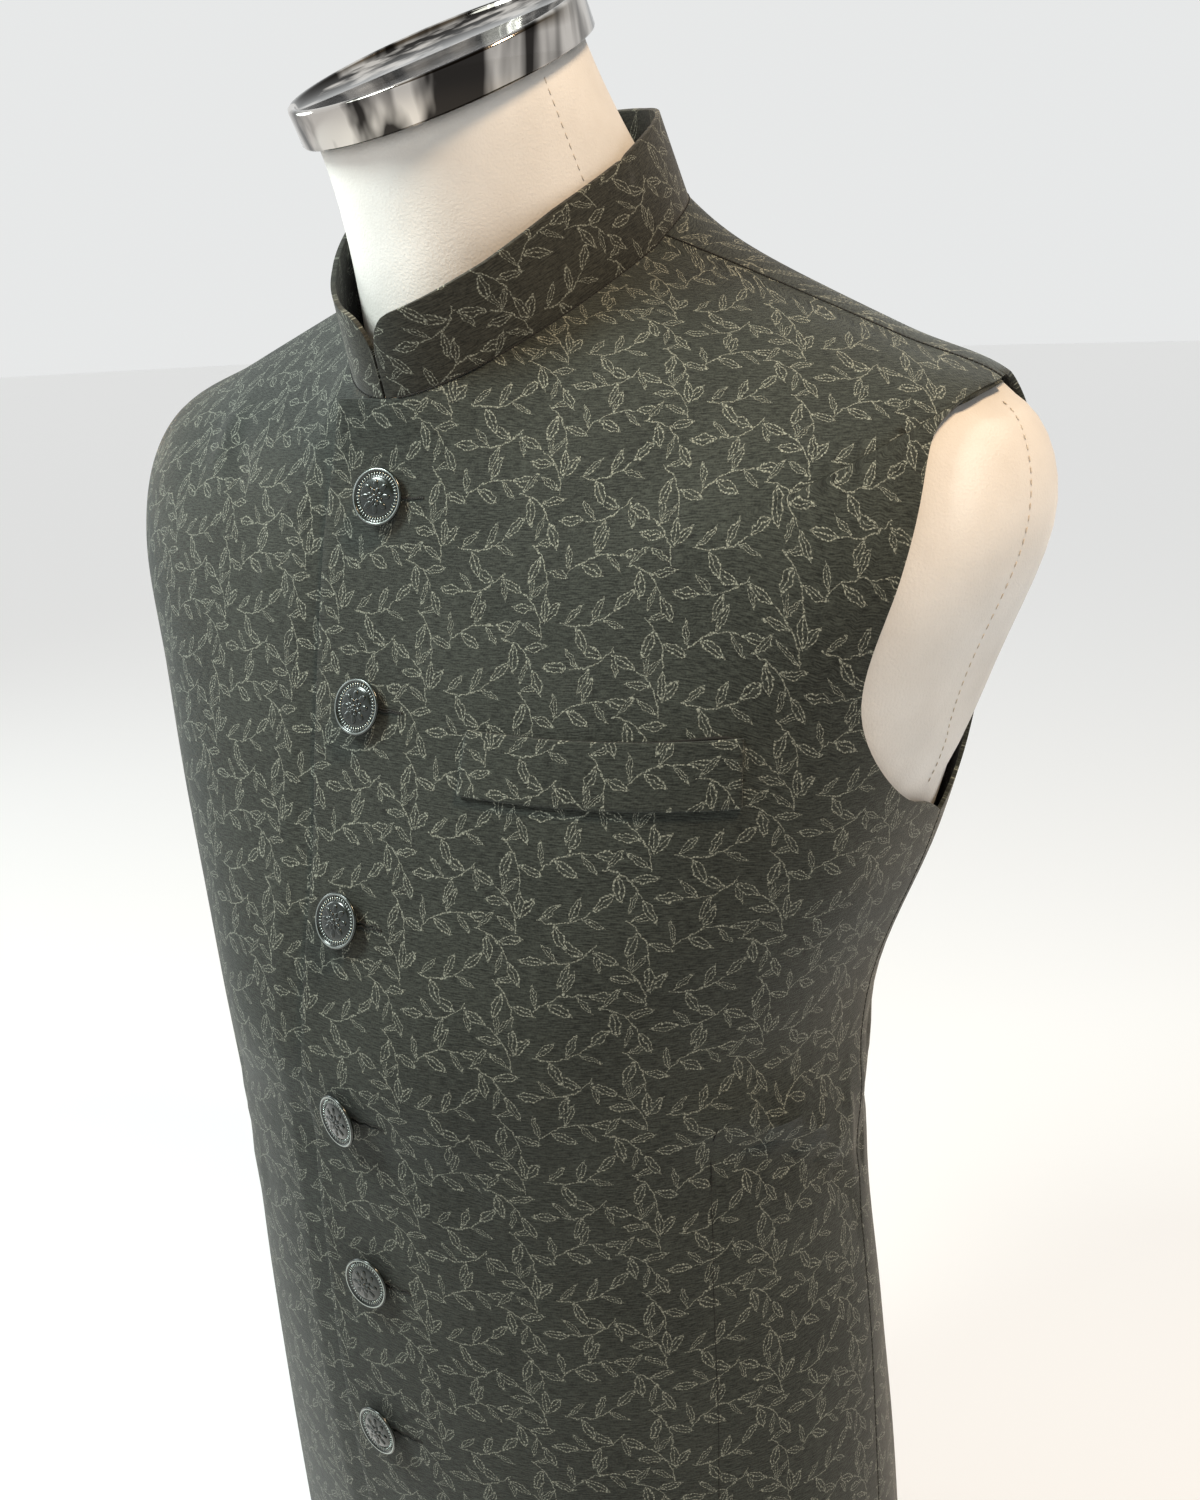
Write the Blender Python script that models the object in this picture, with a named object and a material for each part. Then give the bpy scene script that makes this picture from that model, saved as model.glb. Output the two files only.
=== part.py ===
"""Nehru jacket, lapped left over right and buttoned, on a limbless dress form.

Lengths are in millimetres until the vertices are made. +Z is up, the front faces -Y and the
wearer's left is +X. z = 0 is the flat foot that the dress form stands on.

The jacket's outer surface is a loft through rings round the body. A point on it is named by
theta, the angle round the body from the centre front towards the wearer's left, and by level,
a real number that runs from 0 at the hem to TOP at the neck seam. Every cloth panel, the
welt, the buttons and the form under the cloth take their places from that one surface.
"""
import math

import bmesh
import bpy
import numpy as np
from mathutils import Matrix, Vector

for stale in list(bpy.data.objects):
    bpy.data.objects.remove(stale, do_unlink=True)

MM = 0.001

# Cloth and seams
WALL = 1.8                    # jacquard, interlining and lining as one wall
COLLAR_WALL = 2.2             # two cloths and a stiffer interlining
HALF_SEAM = 0.15              # each panel stops this far short of its seam line
LAP_AIR = 1.0                 # between the two lapped fronts
LAP_REST = 1.5                # the under front stays low this far past the upper front's edge
LAP_RISE = 15.0               # and is up at the outer surface this far past it

# Rings of the jacket's outer surface. The heights are those of its front, side and back;
# air is what lies between the cloth's inner face and the dress form, and lap is how far each
# front runs past the centre front.
RING_COLUMNS = ("front", "side", "back", "half_width", "fore", "aft", "power", "air", "lap")
RINGS = [
    (50.0, 50.0, 50.0, 178.0, 118.0, 146.0, 2.30, 14.0, 27.0),
    (150.0, 150.0, 150.0, 175.0, 137.0, 142.0, 2.15, 12.0, 27.0),
    (240.0, 240.0, 240.0, 172.0, 147.0, 117.0, 2.15, 8.0, 29.0),
    (330.0, 330.0, 330.0, 165.0, 150.0, 93.0, 2.35, 5.0, 30.0),
    (420.0, 420.0, 420.0, 167.5, 156.0, 90.0, 2.50, 4.2, 26.0),
    (500.0, 500.0, 500.0, 196.0, 141.0, 103.0, 2.70, 3.6, 26.0),
    (545.0, 578.0, 575.0, 220.0, 130.5, 114.0, 2.60, 3.4, 31.0),
    (585.0, 646.0, 628.0, 245.0, 120.5, 110.5, 2.40, 3.4, 35.0),
    (617.0, 691.0, 670.0, 232.0, 113.0, 101.0, 2.35, 3.2, 37.0),
    (642.0, 712.0, 702.0, 183.0, 107.0, 87.5, 2.25, 3.0, 38.0),
    (668.0, 739.0, 744.0, 114.0, 102.5, 80.5, 2.10, 3.2, 35.0),
    (695.0, 755.0, 785.0, 70.0, 103.0, 80.0, 1.90, 7.0, 28.0),
]
TOP = len(RINGS) - 1.0

# Armhole, by the angle phi round it: -90 at the underarm, 0 at the foremost point, 90 at the
# shoulder tip. The cosine is raised to a power, so that a lower one squares the curve.
PIT_LEVEL = 5.15
TIP_LEVEL = 8.15
SIDE_SEAM = 97.0              # degrees
SHOULDER_TIP_SEAM = 94.5
SHOULDER_NECK_SEAM = 95.5
SCYE_FORE = 34.0              # degrees cut away in front of the seam line
SCYE_AFT = 24.0
SCYE_POWER = (1.1, -0.65)     # at the foremost point, and what is added at the shoulder tip
SCYE_STEPS = (-90, -75, -60, -45, -30, -15, 0, 15, 30, 45, 60, 72, 81, 86, 88.7, 90)

# Collar: a band with rounded front corners, and its height by the degrees round the neck
# from the centre front
COLLAR_HEIGHT = ((0, 33.0), (30, 35.5), (65, 40.0), (180, 40.0))
COLLAR_CORNER = 17.0
COLLAR_START = 0.8            # degrees from the centre front to each end

# Buttons
BUTTON_R = 12.5
# each button: level, how far it sits to the wearer's left of the centre front, and the
# degrees it has turned on its shank towards the wearer's left
BUTTONS = (
    (9.45, -3.0, 10.0),
    (6.49, -3.0, 3.0),
    (4.64, -3.0, 0.0),
    (3.58, -3.0, -10.0),
    (2.65, 0.0, 3.0),
    (1.72, -4.0, -4.0),
)

# Welt of the chest pocket: its corners as (degrees, level)
WELT_TOP = ((9.9, 6.40), (45.8, 6.17))
WELT_BOTTOM = ((9.7, 5.76), (49.4, 5.64))
WELT_AIR = 0.4
WELT_WALL = 2.0
WELT_ROWS = 3
WELT_COLUMNS = 9

# Dress form
FOOT_ROUND = 6.0
FORM_COLUMNS = 72
ARM_CAP = 9.0                 # how far each closed armhole bulges
ARM_CAP_REACH = 0.9           # of the armhole's own size
LAP_ROOM = 2.6                # more air behind the double front
LAP_ROOM_SPREAD = 24.0        # degrees

# Neck of the form, and the metal cap on it. The neck leans forward.
NECK_CENTRE = (0.7, -53.3, 822.5)
NECK_LEAN = 25.0              # degrees forward
NECK_TILT = 4.4               # degrees towards the wearer's right
NECK_R = 61.0
CAP_R = 67.0
CAP_HEIGHT = 17.0
CAP_RIM = 3.0
CAP_DISH = 2.5


def spline(rows, at):
    """Catmull-Rom through the rows of a table, at a real row number."""
    rows = np.asarray(rows, float)
    last = len(rows) - 1
    i = int(min(max(math.floor(at), 0), last - 1))
    u = at - i
    before = rows[i - 1] if i > 0 else 2 * rows[0] - rows[1]
    after = rows[i + 2] if i + 2 <= last else 2 * rows[last] - rows[last - 1]
    a, b = rows[i], rows[i + 1]
    return 0.5 * (2 * a + (b - before) * u + (2 * before - 5 * a + 4 * b - after) * u**2
                  + (3 * a - before - 3 * b + after) * u**3)


def ring_point(ring, theta):
    """Point of one ring; its height swings between the front, side and back heights."""
    front, side, back, half_width, fore, aft, power = ring[:7]
    c, s = math.cos(theta), math.sin(theta)
    x = math.copysign(half_width * abs(s) ** (2 / power), s)
    y = -fore * abs(c) ** (2 / power) if c > 0 else aft * abs(c) ** (2 / power)
    middle = (front + back) / 2
    z = (middle + side) / 2 + (front - back) / 2 * c + (middle - side) / 2 * math.cos(2 * theta)
    return np.array((x, y, z))


def surface(theta, level):
    return ring_point(spline(RINGS, level), theta)


def normal(theta, level):
    step = 0.02
    low = max(level - step, 0.0)
    high = min(level + step, TOP)
    round_body = surface(theta + step, level) - surface(theta - step, level)
    up = surface(theta, high) - surface(theta, low)
    n = np.cross(round_body, up)
    return n / np.linalg.norm(n)


def lifted(theta, level, lift):
    """A point this far outside the jacket's outer surface."""
    return surface(theta, level) + normal(theta, level) * lift


def lap_at(level):
    return float(spline(RINGS, level)[8])


def theta_at(x, level):
    """The front's angle at a distance x to the wearer's left of the centre front."""
    ring = spline(RINGS, level)
    s = min(abs(x) / ring[3], 1.0) ** (ring[6] / 2)
    return math.copysign(math.asin(s), x)


def ease_in(value, start, end):
    u = min(max((value - start) / (end - start), 0.0), 1.0)
    return u * u * (3 - 2 * u)


# ---- levels shared by every panel -------------------------------------------------------
# Each entry is a level with the angles at which the front ends and the back begins.

def scye_power(up):
    """up is -1 at the underarm and 1 at the shoulder tip."""
    return SCYE_POWER[0] + SCYE_POWER[1] * up


def body_levels():
    entries = []
    for i in range(12):
        level = PIT_LEVEL * i / 12
        entries.append((level, math.radians(SIDE_SEAM), math.radians(SIDE_SEAM)))
    for step in SCYE_STEPS:
        phi = math.radians(step)
        up = (math.sin(phi) + 1) / 2
        level = PIT_LEVEL + (TIP_LEVEL - PIT_LEVEL) * up
        line = SIDE_SEAM + (SHOULDER_TIP_SEAM - SIDE_SEAM) * up
        cut = max(math.cos(phi), 0.0) ** scye_power(math.sin(phi))
        fore = math.radians(line - SCYE_FORE * cut)
        aft = math.radians(line + SCYE_AFT * cut)
        entries.append((level, fore, aft))
    for i in range(1, 8):
        level = TIP_LEVEL + (TOP - TIP_LEVEL) * i / 7
        line = SHOULDER_TIP_SEAM + (SHOULDER_NECK_SEAM - SHOULDER_TIP_SEAM) * i / 7
        entries.append((level, math.radians(line), math.radians(line)))
    return entries


LEVELS = body_levels()


def seam_turn(theta, level):
    """The angle that moves a point HALF_SEAM along its ring."""
    step = 0.004
    travel = np.linalg.norm(surface(theta + step, level) - surface(theta - step, level))
    return HALF_SEAM * 2 * step / travel


# ---- mesh helpers ------------------------------------------------------------------------

def make_object(name, mesh, colour, roughness, metallic=0.0):
    bmesh.ops.recalc_face_normals(mesh, faces=mesh.faces[:])
    if mesh.calc_volume(signed=True) < 0:
        bmesh.ops.reverse_faces(mesh, faces=mesh.faces[:])
    for face in mesh.faces:
        face.smooth = True
    data = bpy.data.meshes.new(name)
    mesh.to_mesh(data)
    mesh.free()
    made = bpy.data.objects.new(name, data)
    bpy.context.scene.collection.objects.link(made)
    material = bpy.data.materials.new(name)
    material.use_nodes = True
    shader = material.node_tree.nodes["Principled BSDF"]
    shader.inputs["Base Color"].default_value = (*colour, 1.0)
    shader.inputs["Roughness"].default_value = roughness
    shader.inputs["Metallic"].default_value = metallic
    data.materials.append(material)
    return made


def shell(name, outer, inner, colour, roughness, falling=False):
    """A closed wall between two grids of points, with square-cut edges.

    Each cell is two triangles. falling picks the other diagonal, so that two panels that lie
    on each other from opposite sides have their facets parallel.
    """
    mesh = bmesh.new()
    sides = []
    for grid in (outer, inner):
        sides.append([[mesh.verts.new(Vector(p) * MM) for p in row] for row in grid])
    rows, cols = len(outer), len(outer[0])
    for side in sides:
        for i in range(rows - 1):
            for j in range(cols - 1):
                a, b, c, d = side[i][j], side[i][j + 1], side[i + 1][j + 1], side[i + 1][j]
                if falling:
                    a, b, c, d = b, c, d, a
                mesh.faces.new((a, b, c))
                mesh.faces.new((a, c, d))
    rim = [(0, j) for j in range(cols)]
    rim += [(i, cols - 1) for i in range(1, rows)]
    rim += [(rows - 1, j) for j in range(cols - 2, -1, -1)]
    rim += [(i, 0) for i in range(rows - 2, 0, -1)]
    for (i, j), (k, m) in zip(rim, rim[1:] + rim[:1]):
        mesh.faces.new((sides[0][i][j], sides[0][k][m], sides[1][k][m], sides[1][i][j]))
    return make_object(name, mesh, colour, roughness)


def lathe(name, profile, place, sides, colour, roughness, metallic=0.0):
    """Turn a closed (radius, height) profile about its own axis and put it in place."""
    mesh = bmesh.new()
    rings = []
    for radius, height in profile:
        if radius == 0:
            rings.append([mesh.verts.new(place @ Vector((0, 0, height)) * MM)])
            continue
        ring = []
        for k in range(sides):
            turn = 2 * math.pi * k / sides
            point = Vector((radius * math.cos(turn), radius * math.sin(turn), height))
            ring.append(mesh.verts.new(place @ point * MM))
        rings.append(ring)
    for low, high in zip(rings, rings[1:]):
        for k in range(sides):
            n = (k + 1) % sides
            if len(low) == 1:
                mesh.faces.new((low[0], high[n], high[k]))
            elif len(high) == 1:
                mesh.faces.new((low[k], low[n], high[0]))
            else:
                mesh.faces.new((low[k], low[n], high[n], high[k]))
    return make_object(name, mesh, colour, roughness, metallic)


CLOTH = (0.052, 0.060, 0.050)
CLOTH_ROUGH = 0.85

# ---- front and back panels ---------------------------------------------------------------
LAP_SHARES = (-1.0, -0.67, -0.33, 0.0, 0.33, 0.67, 1.0)
FRONT_COLUMNS = 9
BACK_COLUMNS = 24
CROWD = 0.4                   # crowds the back's columns towards its tightly curved sides


def front_grid(side, lift):
    """side is 1 for the wearer's left, the upper front, and -1 for the right, the under.

    The upper front runs on straight past the centre front, so its lap lies flat.
    """
    grid = []
    for level, end, _ in LEVELS:
        end -= seam_turn(end, level)
        row = []
        lap = lap_at(level)
        angles = [theta_at(lap * share, level) for share in LAP_SHARES]
        start = theta_at(lap + LAP_RISE, level)
        for j in range(FRONT_COLUMNS + 1):
            share = 1 - (1 - j / FRONT_COLUMNS) ** 1.4
            angles.append(start + (end - start) * share)
        for theta in angles:
            x = surface(theta, level)[0]
            if side < 0:
                sunk = (WALL + LAP_AIR) * (1 - ease_in(x, lap + LAP_REST, lap + LAP_RISE))
                row.append(lifted(-theta, level, lift - sunk))
            elif x < 0:
                row.append(lifted(0.0, level, lift) + np.array((x, 0.0, 0.0)))
            else:
                row.append(lifted(theta, level, lift))
        grid.append(row)
    return grid


def back_grid(lift):
    grid = []
    for level, _, begin in LEVELS:
        begin += seam_turn(begin, level)
        finish = 2 * math.pi - begin
        row = []
        for j in range(BACK_COLUMNS + 1):
            u = j / BACK_COLUMNS
            u -= CROWD * math.sin(2 * math.pi * u) / (2 * math.pi)
            row.append(lifted(begin + (finish - begin) * u, level, lift))
        grid.append(row)
    return grid


shell("front_left", front_grid(1, 0.0), front_grid(1, -WALL), CLOTH, CLOTH_ROUGH)
shell("front_right", front_grid(-1, 0.0), front_grid(-1, -WALL), CLOTH, CLOTH_ROUGH, True)
shell("back", back_grid(0.0), back_grid(-WALL), CLOTH, CLOTH_ROUGH)

# ---- collar ------------------------------------------------------------------------------
COLLAR_COLUMNS = 30
COLLAR_ROWS = 3
# Lean towards the neck, in degrees from upright on the seam, by the angle round the neck.
# It stands off on the wearer's left and hugs the neck on the right.
COLLAR_LEAN = (
    (-180, 6), (-135, 4), (-90, 8), (-45, 12), (0, 10), (45, -8), (90, -2), (135, 1), (180, 6),
)


def neck_axis():
    lean, tilt = math.radians(NECK_LEAN), math.radians(NECK_TILT)
    axis = np.array((-math.sin(tilt), -math.sin(lean), math.cos(lean) * math.cos(tilt)))
    return axis / np.linalg.norm(axis)


def collar_frame(theta):
    """Foot of the band just clear of the panel, its way up, and its way to the neck."""
    step = 0.01
    seam = surface(theta, TOP)
    along = surface(theta + step, TOP) - surface(theta - step, TOP)
    along /= np.linalg.norm(along)
    axis = neck_axis()
    rise = axis - along * np.dot(axis, along)
    rise /= np.linalg.norm(rise)
    inward = np.cross(rise, along)
    angle = math.degrees(math.remainder(theta, 2 * math.pi))
    lean = math.radians(np.interp(angle, [a for a, _ in COLLAR_LEAN], [b for _, b in COLLAR_LEAN]))
    up = rise * math.cos(lean) + inward * math.sin(lean)
    inward = inward * math.cos(lean) - rise * math.sin(lean)
    slope = seam - surface(theta, TOP - step)
    slope /= np.linalg.norm(slope)
    dip = max(-np.dot(inward, slope), 0.0) / max(np.dot(up, slope), 0.3)
    return seam + up * (2 * HALF_SEAM + COLLAR_WALL * dip), up, inward


def collar_height(theta):
    degrees = abs(math.degrees(math.remainder(theta, 2 * math.pi)))
    return float(np.interp(degrees, *zip(*COLLAR_HEIGHT)))


def collar_angles():
    start = math.radians(COLLAR_START)
    finish = 2 * math.pi - start
    corner = [0.0, 0.008, 0.022, 0.045]
    middle = [0.07 + 0.86 * i / COLLAR_COLUMNS for i in range(COLLAR_COLUMNS + 1)]
    shares = corner + middle + [1 - c for c in reversed(corner)]
    return [start + (finish - start) * share for share in shares]


def collar_grids():
    angles = collar_angles()
    seam = [collar_frame(theta)[0] for theta in angles]
    run = [0.0]
    for a, b in zip(seam, seam[1:]):
        run.append(run[-1] + float(np.linalg.norm(b - a)))
    outer, inner = [], []
    for i in range(COLLAR_ROWS + 1):
        outer_row, inner_row = [], []
        for theta, travel in zip(angles, run):
            base, up, inward = collar_frame(theta)
            end = min(travel, run[-1] - travel)
            short = max(COLLAR_CORNER - end, 0.0)
            corner = math.sqrt(COLLAR_CORNER**2 - short**2) - COLLAR_CORNER
            top = collar_height(theta) + corner
            point = base + up * top * i / COLLAR_ROWS
            outer_row.append(point)
            inner_row.append(point + inward * COLLAR_WALL)
        outer.append(outer_row)
        inner.append(inner_row)
    return outer, inner


shell("collar", *collar_grids(), CLOTH, CLOTH_ROUGH)


# ---- chest pocket welt -------------------------------------------------------------------

def welt_grid(lift):
    grid = []
    for i in range(WELT_ROWS + 1):
        v = i / WELT_ROWS
        ends = []
        for low, high in zip(WELT_BOTTOM, WELT_TOP):
            ends.append([low[k] + (high[k] - low[k]) * v for k in (0, 1)])
        row = []
        for j in range(WELT_COLUMNS + 1):
            u = j / WELT_COLUMNS
            degrees = ends[0][0] + (ends[1][0] - ends[0][0]) * u
            level = ends[0][1] + (ends[1][1] - ends[0][1]) * u
            row.append(lifted(math.radians(degrees), level, lift))
        grid.append(row)
    return grid


shell("pocket_welt", welt_grid(WELT_AIR + WELT_WALL), welt_grid(WELT_AIR), CLOTH, CLOTH_ROUGH)


# ---- buttons -----------------------------------------------------------------------------
# A cast metal button: domed middle, raised rim, and a shank that stands on the cloth.
SHANK_R = 2.6
SHANK = 2.6
BUTTON_SIDES = 18
BUTTON_PROFILE = (
    (0.0, 0.0), (SHANK_R, 0.0), (SHANK_R, SHANK), (10.4, SHANK + 0.2),
    (12.1, SHANK + 0.9), (BUTTON_R, SHANK + 1.8), (12.0, SHANK + 2.6), (10.9, SHANK + 2.6),
    (10.0, SHANK + 2.2), (6.5, SHANK + 3.1), (0.0, SHANK + 3.7),
)


def upright_place(foot, out):
    """A frame whose Z runs along out and whose Y is as near upright as it can be."""
    across = Vector((0, 0, 1)).cross(out).normalized()
    place = Matrix((across, out.cross(across), out)).transposed().to_4x4()
    place.translation = foot
    return place


def button_place(level, aside, degrees):
    """Stand on the cloth facing out, turned a little about +Z."""
    turn = math.radians(degrees)
    theta = theta_at(max(aside, 0.0), level)
    out = Matrix.Rotation(turn, 3, "Z") @ Vector(normal(theta, level))
    clear = 2 * HALF_SEAM + SHANK_R * abs(math.sin(turn))
    foot = Vector(surface(theta, level)) + out * clear
    foot.x = aside
    return upright_place(foot, out)


for number, button in enumerate(BUTTONS, 1):
    place = button_place(*button)
    lathe(f"button_{number}", BUTTON_PROFILE, place, BUTTON_SIDES, (0.02, 0.028, 0.024), 0.3, 0.9)


# ---- dress form --------------------------------------------------------------------------
TORSO_STEPS = 27
NECK_STEPS = 7
NECK_START = 0.25             # levels below the neck seam, for the slope the neck starts with
NECK_PULL = 90.0              # how strongly the neck comes up square to its cap


def arm_cap(theta, level):
    """How far the closed armhole stands out, by how near its own cut edge a point is."""
    up = (level - PIT_LEVEL) / (TIP_LEVEL - PIT_LEVEL) * 2 - 1
    degrees = abs(math.degrees(math.remainder(theta, 2 * math.pi)))
    line = SIDE_SEAM + (SHOULDER_TIP_SEAM - SIDE_SEAM) * (up + 1) / 2
    across = (degrees - line) / (SCYE_AFT if degrees > line else SCYE_FORE)
    across *= math.sqrt(max(1 - up * up, 0.0025)) ** (1 - scye_power(up))
    reach = math.hypot(up, across) / ARM_CAP_REACH
    return ARM_CAP * max(1 - reach * reach, 0.0) ** 0.8


def form_point(theta, level):
    degrees = math.degrees(math.remainder(theta, 2 * math.pi))
    air = float(spline(RINGS, level)[7])
    air += LAP_ROOM * math.exp(-(degrees / LAP_ROOM_SPREAD) ** 2)
    return lifted(theta, level, arm_cap(theta, level) - WALL - air)


def foot_row(foot, inset, height):
    row = []
    for point in foot:
        shrink = 1 - inset / math.hypot(point[0], point[1])
        row.append(np.array((point[0] * shrink, point[1] * shrink, height)))
    return row


def neck_row(theta_list, u):
    """Each column runs on from the shoulder and comes up square to the cap."""
    axis = neck_axis()
    across = np.cross((0.0, 1.0, 0.0), axis)
    across /= np.linalg.norm(across)
    fore = np.cross(across, axis)
    keep = 2 * u**3 - 3 * u**2 + 1
    row = []
    for theta in theta_list:
        low = form_point(theta, TOP)
        slope = (low - form_point(theta, TOP - NECK_START)) * 1.2
        high = np.array(NECK_CENTRE) + NECK_R * (math.sin(theta) * across + math.cos(theta) * fore)
        point = low * keep + high * (1 - keep)
        point += slope * (u**3 - 2 * u**2 + u) + axis * NECK_PULL * (u**3 - u**2)
        row.append(point)
    return row


def form_rows():
    angles = [2 * math.pi * k / FORM_COLUMNS for k in range(FORM_COLUMNS)]
    foot = [form_point(theta, 0.0) for theta in angles]
    rows = [foot_row(foot, FOOT_ROUND, 0.0), foot_row(foot, FOOT_ROUND * 0.3, FOOT_ROUND * 0.3)]
    rows.append(foot_row(foot, 0.0, FOOT_ROUND))
    for i in range(TORSO_STEPS + 1):
        rows.append([form_point(theta, TOP * i / TORSO_STEPS) for theta in angles])
    for i in range(1, NECK_STEPS + 1):
        rows.append(neck_row(angles, i / NECK_STEPS))
    return rows


def form_mesh():
    mesh = bmesh.new()
    rows = [[mesh.verts.new(Vector(p) * MM) for p in row] for row in form_rows()]
    for low, high in zip(rows, rows[1:]):
        for k in range(FORM_COLUMNS):
            n = (k + 1) % FORM_COLUMNS
            mesh.faces.new((low[k], low[n], high[n], high[k]))
    mesh.faces.new(list(reversed(rows[0])))
    mesh.faces.new(rows[-1])
    return mesh


make_object("form_torso", form_mesh(), (0.72, 0.68, 0.60), 0.9)

CAP_SIDES = 48
CAP_PROFILE = (
    (0.0, 0.3), (CAP_R - 1.0, 0.3), (CAP_R, 1.3), (CAP_R, CAP_HEIGHT - 1.2),
    (CAP_R - 1.2, CAP_HEIGHT), (CAP_R - CAP_RIM, CAP_HEIGHT),
    (CAP_R - CAP_RIM - 1.5, CAP_HEIGHT - CAP_DISH), (0.0, CAP_HEIGHT - CAP_DISH),
)
cap_place = upright_place(Vector(NECK_CENTRE), Vector(neck_axis()))
lathe("neck_cap", CAP_PROFILE, cap_place, CAP_SIDES, (0.75, 0.75, 0.76), 0.08, 1.0)
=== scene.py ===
import math

import bmesh
import bpy
import numpy as np
from mathutils import Matrix, Vector


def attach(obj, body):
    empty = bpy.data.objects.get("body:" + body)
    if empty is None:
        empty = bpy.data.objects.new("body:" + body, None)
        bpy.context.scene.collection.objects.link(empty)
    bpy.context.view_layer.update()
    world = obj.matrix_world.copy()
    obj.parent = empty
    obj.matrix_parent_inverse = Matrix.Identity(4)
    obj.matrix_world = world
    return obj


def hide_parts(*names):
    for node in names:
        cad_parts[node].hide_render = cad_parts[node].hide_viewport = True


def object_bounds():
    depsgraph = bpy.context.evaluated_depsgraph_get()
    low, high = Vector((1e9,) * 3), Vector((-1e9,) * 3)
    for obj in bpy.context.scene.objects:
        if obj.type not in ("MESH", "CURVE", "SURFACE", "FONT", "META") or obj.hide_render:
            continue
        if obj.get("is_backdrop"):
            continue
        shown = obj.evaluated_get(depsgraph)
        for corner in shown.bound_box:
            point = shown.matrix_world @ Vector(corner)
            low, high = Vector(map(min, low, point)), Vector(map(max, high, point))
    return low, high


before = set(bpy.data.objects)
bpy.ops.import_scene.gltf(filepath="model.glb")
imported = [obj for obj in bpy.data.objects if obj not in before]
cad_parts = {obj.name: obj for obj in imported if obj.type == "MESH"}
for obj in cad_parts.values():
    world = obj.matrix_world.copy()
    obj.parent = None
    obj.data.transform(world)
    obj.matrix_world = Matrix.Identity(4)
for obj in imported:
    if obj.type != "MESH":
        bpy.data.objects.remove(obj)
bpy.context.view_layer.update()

# ---- Dress form: padded torso -------------------------------------------------------------
# A limbless tailor's torso, moulded hard and covered in smooth off-white cloth. It fills the
# jacket with a few millimetres of air, its armholes are closed by stuffed round pads, and its
# neck leans forward to a flat top.

MM = 0.001
WALL = 1.8
# height of each ring at the front, side and back; half width, depth before and behind, how
# square it is, air under the cloth, and how far the fronts lap past the centre
RINGS = [
    (50.0, 50.0, 50.0, 178.0, 118.0, 146.0, 2.30, 14.0, 27.0),
    (150.0, 150.0, 150.0, 175.0, 137.0, 142.0, 2.15, 12.0, 27.0),
    (240.0, 240.0, 240.0, 172.0, 147.0, 117.0, 2.15, 8.0, 29.0),
    (330.0, 330.0, 330.0, 165.0, 150.0, 93.0, 2.35, 5.0, 30.0),
    (420.0, 420.0, 420.0, 167.5, 156.0, 90.0, 2.50, 4.2, 26.0),
    (500.0, 500.0, 500.0, 196.0, 141.0, 103.0, 2.70, 3.6, 26.0),
    (545.0, 578.0, 575.0, 220.0, 130.5, 114.0, 2.60, 3.4, 31.0),
    (585.0, 646.0, 628.0, 245.0, 120.5, 110.5, 2.40, 3.4, 35.0),
    (617.0, 691.0, 670.0, 232.0, 113.0, 101.0, 2.35, 3.2, 37.0),
    (642.0, 712.0, 702.0, 183.0, 107.0, 87.5, 2.25, 3.0, 38.0),
    (668.0, 739.0, 744.0, 114.0, 102.5, 80.5, 2.10, 3.2, 35.0),
    (695.0, 755.0, 785.0, 70.0, 103.0, 80.0, 1.90, 7.0, 28.0),
]
TOP = len(RINGS) - 1.0
PIT_LEVEL = 5.15
TIP_LEVEL = 8.15
SIDE_SEAM = 97.0
SHOULDER_TIP_SEAM = 94.5
SHOULDER_NECK_SEAM = 95.5
# the armhole's reach before and behind its middle line in degrees, the power of its curve at
# mid height with its change upwards, and what its width keeps at the two ends, squared
SCYE_FORE = 34.0
SCYE_AFT = 24.0
SCYE_POWER = (1.1, -0.65)
SCYE_END = 0.0025
FORM_COLUMNS = 144
TORSO_ROWS = 66
NECK_ROWS = 16
ARM_CAP = 9.0
ARM_CAP_REACH = 0.9
ARM_CAP_POWER = 0.8
LAP_ROOM = 2.6
LAP_ROOM_SPREAD = 24.0
FOOT_ROUND = 6.0
NECK_CENTRE = (0.7, -53.3, 822.5)
NECK_LEAN = 25.0
NECK_TILT = 4.4
NECK_R = 61.0
# how far down the body the neck looks for its slope, and how strongly it keeps to the body's
# slope below and to its own axis above
NECK_LOOK = 0.25
NECK_LEAVE = 1.2
NECK_ARRIVE = 90.0
# the step of angle and of level over which the surface's slope is taken
NORMAL_STEP = 0.02


def spline(rows, at):
    """A smooth row between the rows of a table, at a place counted in rows."""
    rows = np.asarray(rows, float)
    last = len(rows) - 1
    i = int(min(max(math.floor(at), 0), last - 1))
    u = at - i
    before = rows[i - 1] if i > 0 else 2 * rows[0] - rows[1]
    after = rows[i + 2] if i + 2 <= last else 2 * rows[last] - rows[last - 1]
    a, b = rows[i], rows[i + 1]
    return 0.5 * (2 * a + (b - before) * u + (2 * before - 5 * a + 4 * b - after) * u**2
                  + (3 * a - before - 3 * b + after) * u**3)


def surface(theta, level):
    """A point of the jacket's smooth outer face, by angle round the body and level up it."""
    front, side, back, half_width, fore, aft, power = spline(RINGS, level)[:7]
    c, s = math.cos(theta), math.sin(theta)
    x = math.copysign(half_width * abs(s) ** (2 / power), s)
    y = -fore * abs(c) ** (2 / power) if c > 0 else aft * abs(c) ** (2 / power)
    middle = (front + back) / 2
    z = (middle + side) / 2 + (front - back) / 2 * c + (middle - side) / 2 * math.cos(2 * theta)
    return np.array((x, y, z))


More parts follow.
